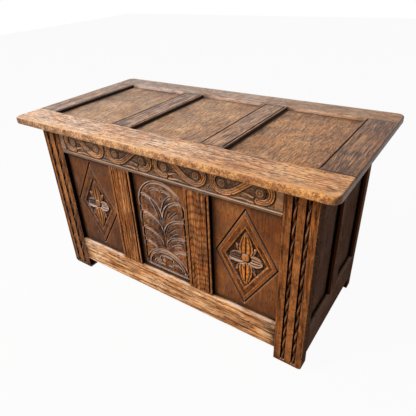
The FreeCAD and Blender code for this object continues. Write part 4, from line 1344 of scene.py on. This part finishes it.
# a floor that takes shadows and looks white
studio = {"floorSize": 16.0, "floor": (0.5, 0.49, 0.48), "white": 0.95, "ambient": 0.17}
bpy.ops.mesh.primitive_plane_add(size=studio["floorSize"], location=(0.0, 0.0, 0.0))
ground = bpy.context.object
ground.name = "studioFloor"
groundFinish = Finish("studioFloor")
groundFinish.set("Base Color", rgb(*studio["floor"]))
groundFinish.set("Roughness", 0.9)
groundFinish.set("Specular IOR Level", 0.0)
seenDirectly = 0.0
for kind in ("Is Camera Ray", "Is Glossy Ray", "Is Transmission Ray"):
    seenDirectly = seenDirectly + groundFinish.node("ShaderNodeLightPath", {}, {}, kind)
glow = groundFinish.node("ShaderNodeEmission", {}, {"Color": rgb(1.0, 1.0, 1.0), "Strength": 1.0})
lit = Link(groundFinish, groundFinish.shader.outputs[0])
both = groundFinish.node("ShaderNodeMixShader", {},
                         {0: seenDirectly.clamped() * studio["white"], 1: lit, 2: glow})
groundFinish.feed(groundFinish.tree.nodes["Material Output"].inputs[0], both)
ground.data.materials.append(groundFinish.material)

world = bpy.data.worlds.new("studio")
bpy.context.scene.world = world
world.use_nodes = True
sky = world.node_tree
background = sky.nodes["Background"]
background.inputs["Color"].default_value = rgb(1.0, 1.0, 1.0)
skyRays = sky.nodes.new("ShaderNodeLightPath")
strength = skyRays.outputs["Is Camera Ray"]
for other in (skyRays.outputs["Is Glossy Ray"], skyRays.outputs["Is Transmission Ray"],
              studio["ambient"]):
    brighter = sky.nodes.new("ShaderNodeMath")
    brighter.operation = "MAXIMUM"
    sky.links.new(strength, brighter.inputs[0])
    if isinstance(other, float):
        brighter.inputs[1].default_value = other
    else:
        sky.links.new(other, brighter.inputs[1])
    strength = brighter.outputs[0]
sky.links.new(strength, background.inputs["Strength"])


# a soft key from the left and a weak fill from the front: place, aim, size and power
lamps = {"keyLight": ((-1.9, -2.4, 3.1), (0.0, 0.0, 0.4), 1.6, 185.0),
         "fillLight": ((0.4, -3.4, 1.6), (0.0, 0.0, 0.4), 2.0, 14.0)}
for name, (place, aim, size, power) in lamps.items():
    bpy.ops.object.light_add(type="AREA", location=place)
    lamp = bpy.context.object
    lamp.name = name
    lamp.data.size = size
    lamp.data.energy = power
    lamp.rotation_euler = (Vector(aim) - Vector(place)).to_track_quat("-Z", "Y").to_euler()

cameraView = {"place": (0.7437, -1.0087, 1.0490), "turn": (58.5701, 2.9118, 35.2068),
              "lens": 34.724, "sensor": 36.0, "shift": (0.0241, 0.0056)}
bpy.ops.object.camera_add(location=cameraView["place"],
                          rotation=[math.radians(a) for a in cameraView["turn"]])
camera = bpy.context.object
camera.data.sensor_width = cameraView["sensor"]
camera.data.lens = cameraView["lens"]
camera.data.shift_x, camera.data.shift_y = cameraView["shift"]
bpy.context.scene.camera = camera
bpy.context.scene.view_settings.view_transform = "Standard"
print("camera and lights set")
